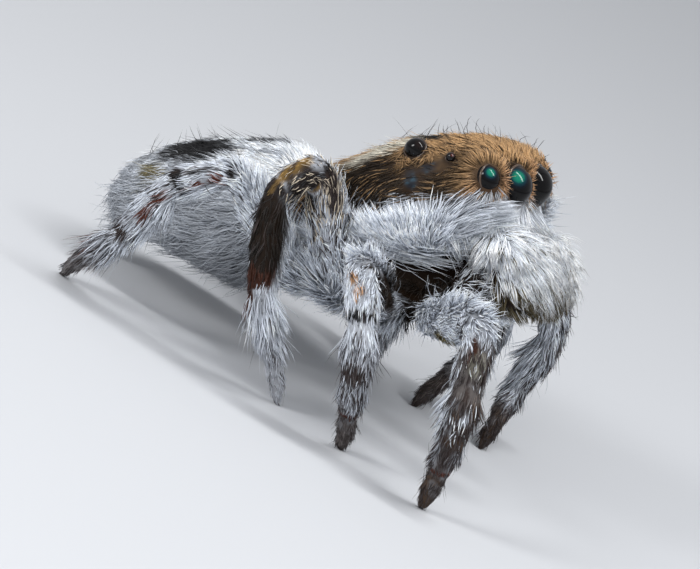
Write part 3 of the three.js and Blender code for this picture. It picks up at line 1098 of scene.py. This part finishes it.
def rim_material():
    """Bare polished cuticle, near black, as it is round a lens."""
    material, tree = new_material("polished_rim_cuticle")
    where = add_node(tree, "ShaderNodeTexCoord")
    scale = 1 / (RIM_GRAIN_MM * MM)
    grain = add_node(tree, "ShaderNodeTexNoise", {"Vector": where.outputs["Object"]}, Scale=scale)
    ramp = add_node(tree, "ShaderNodeValToRGB", {"Fac": grain.outputs[0]})
    ramp.color_ramp.elements[0].color = rgba("#1c1410")
    ramp.color_ramp.elements[1].color = rgba("#5d4a3c")
    links = {"Base Color": ramp.outputs["Color"]}
    shader = add_node(tree, "ShaderNodeBsdfPrincipled", links, Roughness=0.25, IOR=1.56)
    add_node(tree, "ShaderNodeOutputMaterial", {"Surface": shader.outputs[0]})
    return material


polished = rim_material()
skin_tree = BVHTree.FromPolygons(skin_points.tolist(), skin_faces.tolist())
for name, (middle, radius, look) in eye_facts.items():
    kind = name.rsplit("_", 1)[0]
    hit = skin_tree.ray_cast((middle + 3 * radius * look).tolist(), (-look).tolist())
    out = float(along(np.array(hit[0]) - middle, look)) if hit[0] else 0.0
    out = radius * RIM_PLACE.get(kind, np.clip(out / radius, *RIM_RANGE))
    ring = math.sqrt(radius**2 - out**2)
    bpy.ops.object.select_all(action="DESELECT")
    bpy.ops.mesh.primitive_torus_add(
        major_segments=48, minor_segments=10, major_radius=ring, minor_radius=RIM_THICKNESS[kind]
    )
    rim = bpy.context.object
    rim.name = f"rim_{name[4:]}"
    turn = Vector((0, 0, 1)).rotation_difference(Vector(look)).to_matrix().to_4x4()
    rim.data.transform(Matrix.Translation(Vector(middle + out * look)) @ turn)
    finish_piece(rim, polished)
print("set", len(eye_facts), "rims")

# %% [markdown]
# ## The coat
#
# A spider's hairs are flat tapered blades a few hundredths of a millimetre wide.
# Each strand here stands for a small lock of them: a three-sided tapered tube with
# a closed root, bent along its length. Strands could be copies of one object, but
# a hundred thousand objects are slow, so their points are worked out as arrays and
# every region becomes one joined mesh. Roots lie on the skin, evenly by area, and
# every strand knows its place there, so its colour comes from the markings.

# %% Roots of the hair


class Roots:
    """Chosen root points on the skin, with their places and random numbers."""

    def __init__(self, rows_allowed, density, count, seed):
        source = np.random.default_rng(seed)
        corners = skin_points[skin_faces]
        cross = np.cross(corners[:, 1] - corners[:, 0], corners[:, 2] - corners[:, 0])
        areas = np.linalg.norm(cross, axis=1) / 2
        face_rows = rows_allowed[skin_faces].all(axis=1)
        weight = areas * (density * np.ones(len(skin_points)))[skin_faces].mean(axis=1) * face_rows
        steps = (np.arange(count) + source.random(count)) / count * weight.sum()
        face = np.minimum(np.searchsorted(np.cumsum(weight), steps), len(weight) - 1)
        first, second = source.random((2, count))
        flip = first + second > 1
        first, second = np.where(flip, 1 - first, first), np.where(flip, 1 - second, second)
        shares = in_rows(1 - first - second, first, second)[..., None]
        points = (corners[face] * shares).sum(axis=1)
        normals = unit((skin_normals[skin_faces[face]] * shares).sum(axis=1))
        self.random = source
        self.at = Places(points, normals)
        self.count = count


def flat_to(directions, normals):
    """Directions with what points out of the surface taken off."""
    return unit(directions - along(directions, normals)[:, None] * normals)


def spin(directions, axis, degrees):
    """Directions turned round an axis, each by its own angle."""
    angle = np.radians(degrees)[:, None]
    return (
        directions * np.cos(angle)
        + np.cross(axis, directions) * np.sin(angle)
        + axis * along(axis, directions)[:, None] * (1 - np.cos(angle))
    )


def where_seen(roots, lie, length):
    """Places part way along the strands: a strand shows there, not at its root."""
    part = roots.random.uniform(0.2, 0.9, roots.count)
    step = flat_to(lie, roots.at.normals) * (part * length)[:, None]
    return Places(roots.at.points + step, roots.at.normals)


def speckled(roots, colour, other, share):
    """Gives a share of the strands another colour."""
    pick = roots.random.random(roots.count) < share
    return np.where(pick[:, None], other, colour)


def lock_leaders(points, lock, source):
    """Groups strands in locks: the row of the strand that each one leans to."""
    leaders = source.choice(len(points), max(len(points) // lock, 1), replace=False)
    tree = KDTree(len(leaders))
    for row in leaders.tolist():
        tree.insert(points[row], row)
    tree.balance()
    return np.array([tree.find(point)[1] for point in points.tolist()])


# %% Colour-map spots
BAKE_PATCH = 0.003  # size of a strand's own patch in the colour map
BAKE_MARGIN = 0.004  # left free along the edges of the map


def spread_out(values):
    """Values moved into the part of 0 to 1 that leaves room for a patch."""
    low, high = values.min(), values.max()
    room = 1 - 2 * BAKE_MARGIN - BAKE_PATCH
    return BAKE_MARGIN + room * (values - low) / (high - low)


def body_spots(at):
    """An unwrap of a body shape: distance from the front, and angle round it."""
    x, y, z = at.body.T
    centre = np.median(z)
    return np.minimum(np.hypot(y, z - centre), 1.0) - x, np.arctan2(y, z - centre)


def ball_spots(at):
    """An unwrap of a ball-like shape: height, and angle round it."""
    away = at.points - (at.points.min(axis=0) + at.points.max(axis=0)) / 2
    return away[:, 2], np.arctan2(away[:, 1], away[:, 0])


def leg_spots(at):
    """An unwrap of a leg: distance from the hip, and angle round it."""
    return at.bone + at.share, at.angle


# %% Hair finish
HAIR_GRAIN_MM = 0.05  # a blade's ribs are far finer; this coarse, strands look uneven


def hair_material():
    """Hollow blades of cuticle: pale, half matt, with a soft sheen along the edge."""
    material, tree = new_material("spider_hair")
    tint, _ = grained_marking(tree, HAIR_GRAIN_MM, 2.0, 0.82, 1.18)
    shader = add_node(
        tree,
        "ShaderNodeBsdfPrincipled",
        {"Base Color": tint},
        Roughness=0.5,
        IOR=1.5,
        Specular_IOR_Level=0.25,
        Sheen_Weight=0.05,
        Sheen_Roughness=0.4,
    )
    add_node(tree, "ShaderNodeOutputMaterial", {"Surface": shader.outputs[0]})
    return material


hair = hair_material()

# %% Strand maker
ROOT_SINK = 0.012  # a root starts this far under the skin
FLATNESS = 0.6  # thickness of a strand as a share of its width
TIP_PULL = 1.4  # locks close towards their tips with this power
ABOVE_FLOOR = 0.004  # no strand goes lower
LENGTHS = (0.75, 1.2)  # the shortest and the longest strand, as shares of the length
LIFT_SPREAD = 5.0  # degrees
CLUMP_SIZE = 0.22  # neighbours closer than this turn the same way
CLUMP_TURN = 1.3  # how far they turn, as a share of the wander
SWAY_PHASE = 2.6  # how much of a wave a strand's sway takes
STRAY_LENGTH = 1.3  # a strand that stands out alone is longer, thinner and steeper
STRAY_WIDTH = 0.5
STRAY_LIFT = 12.0
KNOTS = {2: [0.0, 0.55, 1.0], 3: [0.0, 0.34, 0.7, 1.0]}  # rings of a strand and its tip
THICKNESS = {2: [0.75, 1.0], 3: [0.7, 1.0, 0.75]}  # of each ring, in widths
CORNERS = np.radians([90, 210, 330])  # of a ring


def strand_faces(rings):
    """The triangles of one strand, and the colour-map spot of each corner."""
    faces, spots = [], []

    def add(corners):
        faces.append([int(r * 3 + t % 3) if r < rings else rings * 3 for r, t in corners])
        spots.append([[t / 3, r / rings] for r, t in corners])

    for turn in range(3):
        for ring in range(rings - 1):
            a, b = (ring, turn), (ring, turn + 1)
            c, d = (ring + 1, turn + 1), (ring + 1, turn)
            add([a, b, c])
            add([a, c, d])
        add([(rings - 1, turn), (rings - 1, turn + 1), (rings, turn + 0.5)])
    faces.append([0, 2, 1])
    spots.append([[0, 0], [0.7, 0.1], [0.4, 0.3]])
    return np.array(faces), np.array(spots)


def joined_mesh(name, points, faces, uv):
    mesh = bpy.data.meshes.new(name)
    mesh.vertices.add(len(points))
    mesh.vertices.foreach_set("co", points.astype(np.float32).ravel())
    mesh.loops.add(faces.size)
    mesh.loops.foreach_set("vertex_index", faces.astype(np.int32).ravel())
    mesh.polygons.add(len(faces))
    mesh.polygons.foreach_set("loop_start", np.arange(0, faces.size, 3, dtype=np.int32))
    layer = mesh.uv_layers.new(name="OFBake")
    mesh.update(calc_edges=True)
    layer.data.foreach_set("uv", uv.astype(np.float32).ravel())
    return mesh


def strand_points(roots, name, lie, length, lift, droop, width, rings, wander, sway, bend,
                  stray, lock, gather):
    """The points of all strands, and the row of each one's leader."""
    at, source, count = roots.at, roots.random, roots.count
    normal = at.normals
    clump = CLUMP_TURN * wander * ripple(at.points, CLUMP_SIZE, len(name))
    flat = spin(flat_to(lie, normal), normal, clump + wander * source.normal(size=count))
    alone = source.random(count) < stray
    length = np.where(alone, STRAY_LENGTH * length, length)
    width = np.where(alone, STRAY_WIDTH * width, width)
    steep = lift + STRAY_LIFT * alone + LIFT_SPREAD * source.normal(size=count)
    angle = np.radians(steep)[:, None]
    start = flat * np.cos(angle) + normal * np.sin(angle)
    side = unit(np.cross(start, normal))
    length = length * source.uniform(*LENGTHS, count)
    curve = -normal * droop + bend
    waves = sway * source.normal(size=count)
    base = at.points - normal * ROOT_SINK
    knots = KNOTS[rings]
    centres = [
        base
        + (length * knot)[:, None] * (start + curve * knot)
        + side * (waves * length * math.sin(SWAY_PHASE * knot))[:, None]
        for knot in knots
    ]
    leader = lock_leaders(at.points, lock, source)
    pull = np.where(alone, 0.0, gather)[:, None]
    centres = [
        centre + pull * knot**TIP_PULL * (centre[leader] - centre)
        for centre, knot in zip(centres, knots)
    ]
    rows = []
    for ring, thick in enumerate(THICKNESS[rings]):
        forward = unit(centres[ring + 1] - centres[max(ring - 1, 0)])
        across = unit(np.cross(forward, normal))
        up = np.cross(across, forward)
        reach = (width * thick / 2)[:, None]
        rows += [
            centres[ring] + reach * (math.cos(t) * across + FLATNESS * math.sin(t) * up)
            for t in CORNERS
        ]
    points = np.stack([*rows, centres[-1]], axis=1)
    points[..., 2] = np.maximum(points[..., 2], ABOVE_FLOOR)
    return points, leader


def lay_coat(name, roots, lie, length, lift, droop, width, colour, unwrap=body_spots, rings=3,
             wander=9.0, sway=0.06, bend=0.0, tones=(0.75, 1.0, 1.05),
             unevenness=0.14, lock=10, gather=0.45, lock_tone=0.12, stray=0.06):
    """Grows one strand from each root and joins them as one mesh.

    lie is the way the hair lies, lift its angle off the skin in degrees, droop how
    far its tip comes back to the skin as a share of its length, unwrap gives its
    spot in the colour map, wander is its spread in degrees and sway its wave. About
    lock strands at a time lean together at their tips by the share gather, and
    stray is the share of long thin strands that stand out alone. tones are the
    shades of a strand's root, middle and tip, unevenness and lock_tone how much
    one strand and one lock differ from the next.
    """
    source, count = roots.random, roots.count
    points, leader = strand_points(
        roots, name, lie, length, lift, droop, width, rings, wander, sway, bend, stray, lock, gather
    )
    faces, corners_uv = strand_faces(rings)
    all_faces = (np.arange(count)[:, None, None] * points.shape[1] + faces).reshape(-1, 3)
    spots = in_rows(*map(spread_out, unwrap(roots.at)))
    all_uv = spots[:, None] + BAKE_PATCH * corners_uv.reshape(1, -1, 2)
    tone = colour * (1 + unevenness * source.uniform(-1, 1, (count, 1)))
    tone = tone * (1 + lock_tone * source.uniform(-1, 1, (count, 1))[leader])
    shades = np.interp(np.arange(rings) / rings, [0, 0.5, 1], tones)
    shades = np.append(np.repeat(shades, 3), tones[2])
    mesh = joined_mesh(name, points.reshape(-1, 3), all_faces, all_uv.reshape(-1, 2))
    store_colour(mesh, "marking", (tone[:, None] * shades[None, :, None]).reshape(-1, 3))
    obj = bpy.data.objects.new(name, mesh)
    bpy.context.scene.collection.objects.link(obj)
    finish_piece(obj, hair)
    print(f"{name}: {count} strands, {len(all_faces)} triangles")


# %% [markdown]
# ## The cap
#
# Short tan blades lie back over the head. On the flank they run back and down, and
# stand nearly upright at its rear. Round the eyes they are shortest. Hair lies
# backwards, so a clearing in it starts ahead of the bare marks.

# %% Where the cap grows
CAP_STRANDS = 19000
CLEARED = ((0.13, 0.0, 0.05), 2.2)  # how far ahead of the bare marks, and how much wider
SHORTENED = ((0.18, 0.0, 0.06), 2.6)  # the same for shorter hair
x, y, z = skin_at.body.T
clear = smooth(0.0, 0.03, eye_gap(skin_points))
clear = less(clear, 0.97 * bare_spots(skin_at, *CLEARED) * is_head)
cap_density = clear * (1 + 0.5 * smooth(-1.0, -0.2, x))
roots = Roots(is_head & (z - cheek_line(x) > -0.05), cap_density, CAP_STRANDS, seed=11)

# %% Lie of the cap
here = roots.at.points
x, y, z = roots.at.body.T
flank = smooth(40, 15, rise(roots.at))
steep = np.radians(18 + 62 * smooth(-1.0, -2.6, x)) * flank
lie = in_body(in_rows(-np.cos(steep), 0.25 * np.sign(y) * (1 - flank), -np.sin(steep)))
away = from_eye(here)
near_eye = smooth(0.22, 0.02, eye_gap(here))
lie = unit(lie * (1 - 0.75 * near_eye[:, None]) + 0.75 * near_eye[:, None] * away)
rear_eyes = np.array([eye_facts[f"eye_rear_{side}"][0] for side in SIDES])
ringed = smooth(0.34, 0.24, np.linalg.norm(here[:, None] - rear_eyes, axis=2).min(axis=1))
round_it = unit(np.cross(away, roots.at.normals))
round_it = round_it * np.sign(along(round_it, -UPWARD - 0.3 * FORWARD))[:, None]
lie = unit(mix(lie, round_it, 0.75 * ringed))
brow = smooth(-0.35, -0.1, x) * smooth(0.3, 0.45, z) * smooth(0.9, 0.6, abs(y))
lie = unit(mix(lie, in_body([1.0, 0.0, 0.15]), brow))

# %% Coat of the cap
length = 0.24 + 0.1 * smooth(-1.5, -3.2, x) - 0.07 * near_eye + 0.1 * flank
pale = in_streak(roots.at, 0.2)
length = less(length, 0.45 * bare_spots(roots.at, *SHORTENED)) + 0.06 * pale
front_eye = near_eye * smooth(-0.75, -0.35, x)
lift = 11 + 16 * brow + 6 * near_eye + 20 * front_eye + 12 * pale
colour = coat_colour(where_seen(roots, lie, length))
dusky = smooth(62, 28, rise(roots.at)) * (1 - near_eye)
colour = mix(colour, TAN * 0.85, 0.65 * ringed)
dark_share = less(0.1 + 0.22 * dusky, 0.7 * pale, 0.6 * ringed)
colour = speckled(roots, colour, mix(FLANK_BROWN, DEEP_BROWN, dusky), dark_share)
colour = speckled(roots, colour, TAN * 0.66, 0.12 * flank)
lay_coat("coat_cap", roots, lie, length, lift, 0.1, 0.017, colour, rings=2, wander=10,
         tones=(0.5, 0.95, 1.1), unevenness=0.24, lock=6, gather=0.3, stray=0.03)

# %% [markdown]
# ## The mane
#
# Long white blades cover the cheeks. At the rear they grow straight up and end in
# points over the dark edge of the cap. Towards the face they fan forwards, until
# they run level over the face and end round the palps.

# %% Where the mane grows
MANE_STRANDS = 10500
MANE_LENGTH = 0.64


def mane_turn(x):
    """The angle of the mane above the line of sight, in radians."""
    return np.radians(96 - 94 * smooth(-1.25, -0.45, x))


x, y, z = skin_at.body.T
reach = 0.85 * MANE_LENGTH
turn = mane_turn(x)
tip_above = z + reach * np.sin(turn) - cheek_line(x + reach * np.cos(turn))
tip_above = tip_above + 0.17 * smooth(-1.1, -0.6, x)
under_eyes = smooth(0.01, 0.07, eye_gap(skin_points))
mane_density = less(clear * smooth(0.1, -0.04, tip_above), 0.5 * smooth(-1.15, -0.75, x))
mane_density = less(
    mane_density * smooth(cheek_end(x) - 0.1, cheek_end(x) + 0.06, z),
    smooth(-0.75, -0.5, x) * smooth(-0.55, -0.7, z),
    smooth(-0.6, -0.45, x) * (1 - under_eyes),
)
roots = Roots(is_head & (z - cheek_line(x) < 0.0), mane_density, MANE_STRANDS, seed=12)

# %% Coat of the mane
x, y, z = roots.at.body.T
face = smooth(-0.3, -0.08, x)
fan = in_rows(np.cos(mane_turn(x)), 0, np.sin(mane_turn(x)))
parted = in_rows(0.3, 0.5 * np.sign(y) * smooth(0.7, 0.3, abs(y)), -0.8)
lie = unit(mix(fan, parted, face))
bend = 0.08 * smooth(-1.5, -0.7, x)[:, None] * FORWARD
length = MANE_LENGTH - 0.2 * smooth(-0.6, -0.05, x)
lay_coat("coat_mane", roots, in_body(lie), length, 13 + 20 * face, 0.12, 0.023,
         coat_colour(roots.at), wander=4.5, bend=bend, tones=(0.5, 1.0, 1.12), unevenness=0.26,
         lock=8, gather=0.4, lock_tone=0.2, stray=0.04)

# %% Moustache
MOUSTACHE_STRANDS = 3200
x, y, z = skin_at.body.T
on_face = (is_head | (skin_at.kind == JAW)) & (x > -0.42) & (z > -0.95)
face_density = smooth(0.0, -0.05, z - cheek_line(x)) * under_eyes
roots = Roots(on_face, face_density, MOUSTACHE_STRANDS, seed=14)
x, y, z = roots.at.body.T
lie = in_body(in_rows(0.5, 0.55 * np.sign(y) * smooth(0.15, 0.5, abs(y)), -0.75))
lay_coat("coat_moustache", roots, lie, 0.34, 20.0, 0.15, 0.022, WHITE, wander=10,
         tones=(0.8, 1.08, 1.15))

# %% Long loose strands at the edge of the mane
LOOSE = [  # name, count, middle and half sizes of the place, direction, length, bend
    ("coat_level_strands", 150, [-1.78, -0.95, -1.22], [0.42, 0.5, 0.16], [1, 0, 0.28], 0.85, 0.1),
    ("coat_hanging_strands", 110, [-0.62, -1.1, -0.7], [0.3, 0.5, 0.2], [0.15, 0, -1], 0.55, 0.35),
]
for number, (name, count, middle, half, direction, length, bend) in enumerate(LOOSE):
    density = blob(one_side(skin_at), middle, half, 0.1)
    roots = Roots(is_head, density, count, seed=60 + number)
    lay_coat(name, roots, in_body(direction), length, 20.0, 0.15, 0.022, WHITE, sway=0.08,
             bend=bend * FORWARD)

# %% [markdown]
# ## Palps
#
# Each palp ends in a ball of very dense white hair. All of it streams away from
# one spot at the top and outside of the ball, forwards and down.

# %% Palps
PALP_STRANDS = 6000
STEM_STRANDS = 420
PALP_HAIR_FROM = {"right": [-0.12, -0.85, -0.62], "left": [-0.2, 0.83, -0.66]}
REARWARD = in_body([-0.8, 0.0, -0.6])
palp_nodes = np.array(flesh)[skin_at.node]
on_shoulder = blob(one_side(skin_at), SHOULDER, 1.12 * SHOULDER_SIZE, 0.1) > 0.5


def coat_palp(side_name, start):
    """Lays the hair of one palp's ball, away from start, and that of its stem."""
    x, y, z = skin_at.body.T
    rows = (palp_nodes == f"palp_end_{side_name}") | (on_shoulder & (y * start[1] > 0))
    rear = smooth(-0.08, 0.06, palp_rear(skin_at)) * smooth(-0.9, -1.05, z)
    density = less(0.35 + 0.65 * smooth(-2.1, -1.8, z), 0.92 * rear)
    roots = Roots(rows, density, PALP_STRANDS, seed=13 + len(side_name))
    x, y, z = roots.at.body.T
    stream = unit(roots.at.points - from_body(start))
    stream = unit(stream + 0.4 * smooth(-0.7, -1.0, z)[:, None] * FORWARD)
    near_rear = smooth(-0.35, -0.05, palp_rear(roots.at)) * smooth(-0.8, -1.0, z)
    over = np.maximum(along(stream, REARWARD), 0) * near_rear
    stream = unit(stream - 0.75 * over[:, None] * REARWARD)
    length = 0.5 - 0.08 * smooth(-1.3, -1.8, z) - 0.1 * smooth(-0.8, -0.6, z)
    length = less(length, 0.35 * near_rear)
    seen = where_seen(roots, stream, length)
    colour = palp_colour(seen)
    colour[z > -1.0] = WHITE
    # Dark strands: a few everywhere, and many more towards the bottom of the ball as painted shade.
    painted_shade_low = 0.04 + 0.8 * smooth(-1.3, -1.75, seen.body[:, 2])
    colour = speckled(roots, colour, mix(DARK_HAIR, OLIVE * 0.6, 0.5), painted_shade_low)
    lay_coat(f"coat_palp_{side_name}", roots, stream, length, 25.0, 0.22, 0.021, colour,
             unwrap=ball_spots, wander=7, sway=0.08, bend=-0.25 * UPWARD, tones=(0.35, 1.12, 1.3),
             unevenness=0.26, lock=22, gather=0.72, lock_tone=0.22, stray=0.08)
    roots = Roots(palp_nodes == f"palp_base_{side_name}", 1.0, STEM_STRANDS, seed=70)
    colour = speckled(roots, coat_colour(roots.at), WHITE, 0.55)
    lay_coat(f"coat_palp_stem_{side_name}", roots, in_body([1.0, 0.0, 0.1]), 0.3, 22.0, 0.2,
             0.019, colour, unwrap=ball_spots, wander=14)


for side_name, start in PALP_HAIR_FROM.items():
    coat_palp(side_name, start)

# %% [markdown]
# ## Abdomen and belly
#
# The hair of the abdomen lies back along it, short on top, longer and wavy at the
# sides. The belly and the jaws have only short thin hair.

# %% Abdomen
x, y, z = skin_at.body.T
is_abdomen = skin_at.kind == ABDOMEN
ABDOMEN_COATS = [  # name, where, strands, length, rings, seed, lift, sway, gather, stray
    ("coat_abdomen_top", z > -0.72, 14000, 0.34, 2, 21, 14.0, 0.1, 0.3, 0.015),
    ("coat_abdomen_side", z < -0.68, 9000, 0.58, 3, 22, 16.0, 0.18, 0.5, 0.06),
]
for name, where, count, length, rings, seed, lift, sway, gather, stray in ABDOMEN_COATS:
    roots = Roots(is_abdomen & where, 1.0, count, seed)
    back = smooth(-6.3, -6.9, roots.at.body[:, 0])
    lie = in_body(in_rows(-1 + 0.5 * back, 0, -0.12 - 0.5 * back))
    colour = coat_colour(where_seen(roots, lie, length))
    lay_coat(name, roots, lie, length, lift, 0.16, 0.021, colour, rings=rings, wander=11,
             sway=sway, lock=12, gather=gather, tones=(0.7, 1.1, 1.2), stray=stray)

# %% Belly and jaws
BELLY_STRANDS = 2200
is_below = (skin_at.kind == BELLY) | ((skin_at.kind == JAW) & (z < -0.7))
roots = Roots(is_below, 1.0, BELLY_STRANDS, seed=23)
lie = np.where((roots.at.kind == JAW)[:, None], in_body([-0.3, 0.0, -1.0]), -FORWARD)
colour = speckled(roots, coat_colour(roots.at), GREY * 0.8, 0.2)
lay_coat("coat_belly", roots, lie, 0.24, 14.0, 0.15, 0.018, colour, rings=2, wander=14)

# %% [markdown]
# ## Legs
#
# Leg hair runs towards the foot and stands off a little, so that each leg looks
# twice as thick as it is. Below the thighs hang longer fringes. The hair is shorter
# at the joints. The tibia below the third leg's knee is dark brown, and painted
# shade makes its dark mark wider and darker. The thighs of the second and third
# legs have painted shade too.

# %% Legs
STRANDS_PER_LEG = 4400
DARK_STRANDS_AT = [1.0, 1.5, 2.5, 3.5, 4.5, 5.5]  # bone and share along a leg
DARK_STRANDS = {  # the share of dark strands there, for each pair of legs
    1: [0.04, 0.06, 0.42, 0.58, 0.76, 0.9],
    2: [0.05, 0.06, 0.12, 0.3, 0.6, 0.8],
    3: [0.1, 0.5, 0.45, 0.05, 0.02, 0.25],
    4: [0.05, 0.06, 0.08, 0.17, 0.24, 0.5],
}
OTHER_STRANDS = {  # strands of another colour: colour, most of them, where they are
    1: (BLUE_WHITE, 0.12, (1.9, 2.3), (4.3, 3.7)),
    3: (mix(GOLD, CREAM, 0.7), 0.3, (1.2, 1.6), (3.0, 2.7)),
}


def leg_density(at, order):
    density = 1 + 0.3 * smooth(4.5, 5.5, at.bone + at.share)
    if order == 3:
        plate = smooth(115, 95, abs(at.angle - 25)) * smooth(0.95, 0.8, at.share)
        return less(density, 0.3 * (at.bone == TIBIA) * plate)
    # Thinner hair on the front of the second leg's thigh lets its painted shade show.
    if order == 2:
        return less(density, 0.8 * ((at.bone == FEMUR) * smooth(60, 40, abs(at.angle - 90))))
    return density


def coat_one_leg(number, leg):
    order = number % 4 + 1
    density = leg_density(skin_at, order)
    roots = Roots(skin_at.leg == number, density, STRANDS_PER_LEG, seed=30 + number)
    at = roots.at
    progress = at.bone + at.share
    top = smooth(95, 45, abs(at.angle))
    under = smooth(100, 150, abs(at.angle)) * (progress < 4)
    shin = (at.bone == METATARSUS) * (order >= 3)
    foot = smooth(4.0, 5.2, progress)
    knee = smooth(0.6, 0.95, at.share) * (at.bone == FEMUR) + (at.bone == PATELLA)
    low_knee = knee * (order == 3)
    length = 0.38 - 0.16 * foot - 0.1 * knee - 0.08 * low_knee + 0.14 * under * (1 - low_knee)
    length = length - 0.07 * smooth(2.8, 3.6, progress) * smooth(5.2, 4.6, progress) * (1 - shin)
    near_joint = np.maximum(smooth(0.86, 1.0, at.share), smooth(0.12, 0.0, at.share))
    length = less(
        length + 0.18 * shin,
        0.22 * top * (1 - shin),
        0.3 * smooth(0.55, 1.0, at.share) * (at.bone == TARSUS),
        0.25 * near_joint * (progress > 1.8) * (progress < 5.1),
    )
    lift = 16 - 5 * top + 3 * foot + 12 * under * (1 - low_knee) + 4 * shin
    taper = unit(at.axis_point - at.points) * (0.3 * smooth(5.3, 6.0, progress))[:, None]
    colour = coat_colour(where_seen(roots, at.lie, length))
    share = np.interp(progress, DARK_STRANDS_AT, DARK_STRANDS[order])
    share = less(share, 0.55 * smooth(80, 130, abs(at.angle)) * (progress < 4.9))
    colour = speckled(roots, colour, DARK_HAIR, share)
    if order in OTHER_STRANDS:
        other, most, begins, ends = OTHER_STRANDS[order]
        share = most * smooth(*begins, progress) * smooth(*ends, progress)
        colour = speckled(roots, colour, other, share)
    lay_coat(f"coat_{leg}", roots, at.lie, length, lift, 0.1, 0.022 - 0.006 * foot, colour,
             unwrap=leg_spots, tones=(0.65, 1.08, 1.18), wander=10, sway=0.09,
             bend=taper, gather=0.5, stray=0.1)


for number, leg in enumerate(LEGS):
    coat_one_leg(number, leg)

# %% [markdown]
# ## Bristles and claws
#
# Thin black bristles stand far out of the coat on the head and the abdomen, and
# shorter ones on the legs. Each foot ends in two small hooked claws. A claw is
# modelled once, as a disc that is extruded, turned and made smaller five times.

# %% Bristles
BRISTLE_WIDTH = 0.01
x, y, z = skin_at.body.T
on_legs = (skin_at.kind == LEG) & (skin_at.bone + skin_at.share > 1.3)
BRISTLES = [  # name, where, count, length, lift, seed
    ("bristles_head", is_head & (z > 0.3), 46, 0.42, 56, 81),
    ("bristles_brow", is_head & (z > 0.15) & (x > -0.5), 24, 0.3, 30, 82),
    ("bristles_abdomen", is_abdomen & (z > -0.5), 60, 0.34, 58, 83),
    ("bristles_legs", on_legs, 520, 0.26, 40, 84),
]
for name, rows, count, length, lift, seed in BRISTLES:
    roots = Roots(rows, 1.0, count, seed)
    lie = FORWARD if name == "bristles_brow" else roots.at.lie
    length = length * roots.random.uniform(0.6, 1.35, count)
    lift = lift + 12 * roots.random.normal(size=count)
    lay_coat(name, roots, lie, length, lift, 0.15, BRISTLE_WIDTH, BLACK_HAIR * 0.6, wander=26,
             sway=0.05)

# %% One claw
CLAW_STEPS = 5
CLAW_RADIUS = 0.018
CLAW_LENGTH = 0.13
CLAW_TAPER = 0.72  # from one step to the next
CLAW_CURL = math.radians(12)
CLAW_APART = 0.02  # from the middle of the foot
CLAW_START = 0.85 * CLAW_LENGTH  # height above the sole


def grow_claw():
    """From a disc at the origin down, curling to the side."""
    centre = Vector((0, 0, 0))
    heading = Vector((0, 0, -1))
    for _ in range(CLAW_STEPS):
        step = heading * (CLAW_LENGTH / CLAW_STEPS)
        bpy.ops.mesh.extrude_region_move(TRANSFORM_OT_translate={"value": step})
        centre = centre + step
        bpy.ops.transform.resize(value=(CLAW_TAPER,) * 3, center_override=centre)
        bpy.ops.transform.rotate(value=CLAW_CURL, orient_axis="Y", center_override=centre)
        heading = Matrix.Rotation(-CLAW_CURL, 3, "Y") @ heading
    bpy.ops.mesh.select_all(action="SELECT")
    bpy.ops.mesh.normals_make_consistent(inside=False)


bpy.ops.object.select_all(action="DESELECT")
bpy.ops.mesh.primitive_circle_add(vertices=8, radius=CLAW_RADIUS, fill_type="NGON")
pattern = bpy.context.object
edit(pattern, grow_claw)
hook_points = coordinates(pattern.data)
print("a claw spans", hook_points.min(axis=0).round(3), hook_points.max(axis=0).round(3))

# %% All claws
claws = []
for leg, line in leg_lines.items():
    foot, sole = line[-2:]
    down = unit(sole - foot)
    out = unit(np.array([down[0], down[1], 0.0]))
    across = np.cross([0, 0, 1], out)
    for way in (-1, 1):
        claw = pattern.copy()
        claw.data = pattern.data.copy()
        bpy.context.scene.collection.objects.link(claw)
        points = hook_points @ np.array([out, across, [0, 0, 1.0]])
        points = points + sole + CLAW_APART * way * across + [0, 0, CLAW_START]
        points[:, 2] = np.maximum(points[:, 2], 0.0)
        set_coordinates(claw.data, points)
        claws.append(claw)
bpy.data.objects.remove(pattern)
print("set", len(claws), "claws")
claws = joined(claws, "claws")
edit(claws, lambda: bpy.ops.mesh.normals_make_consistent(inside=False))
finish_piece(claws, polished)
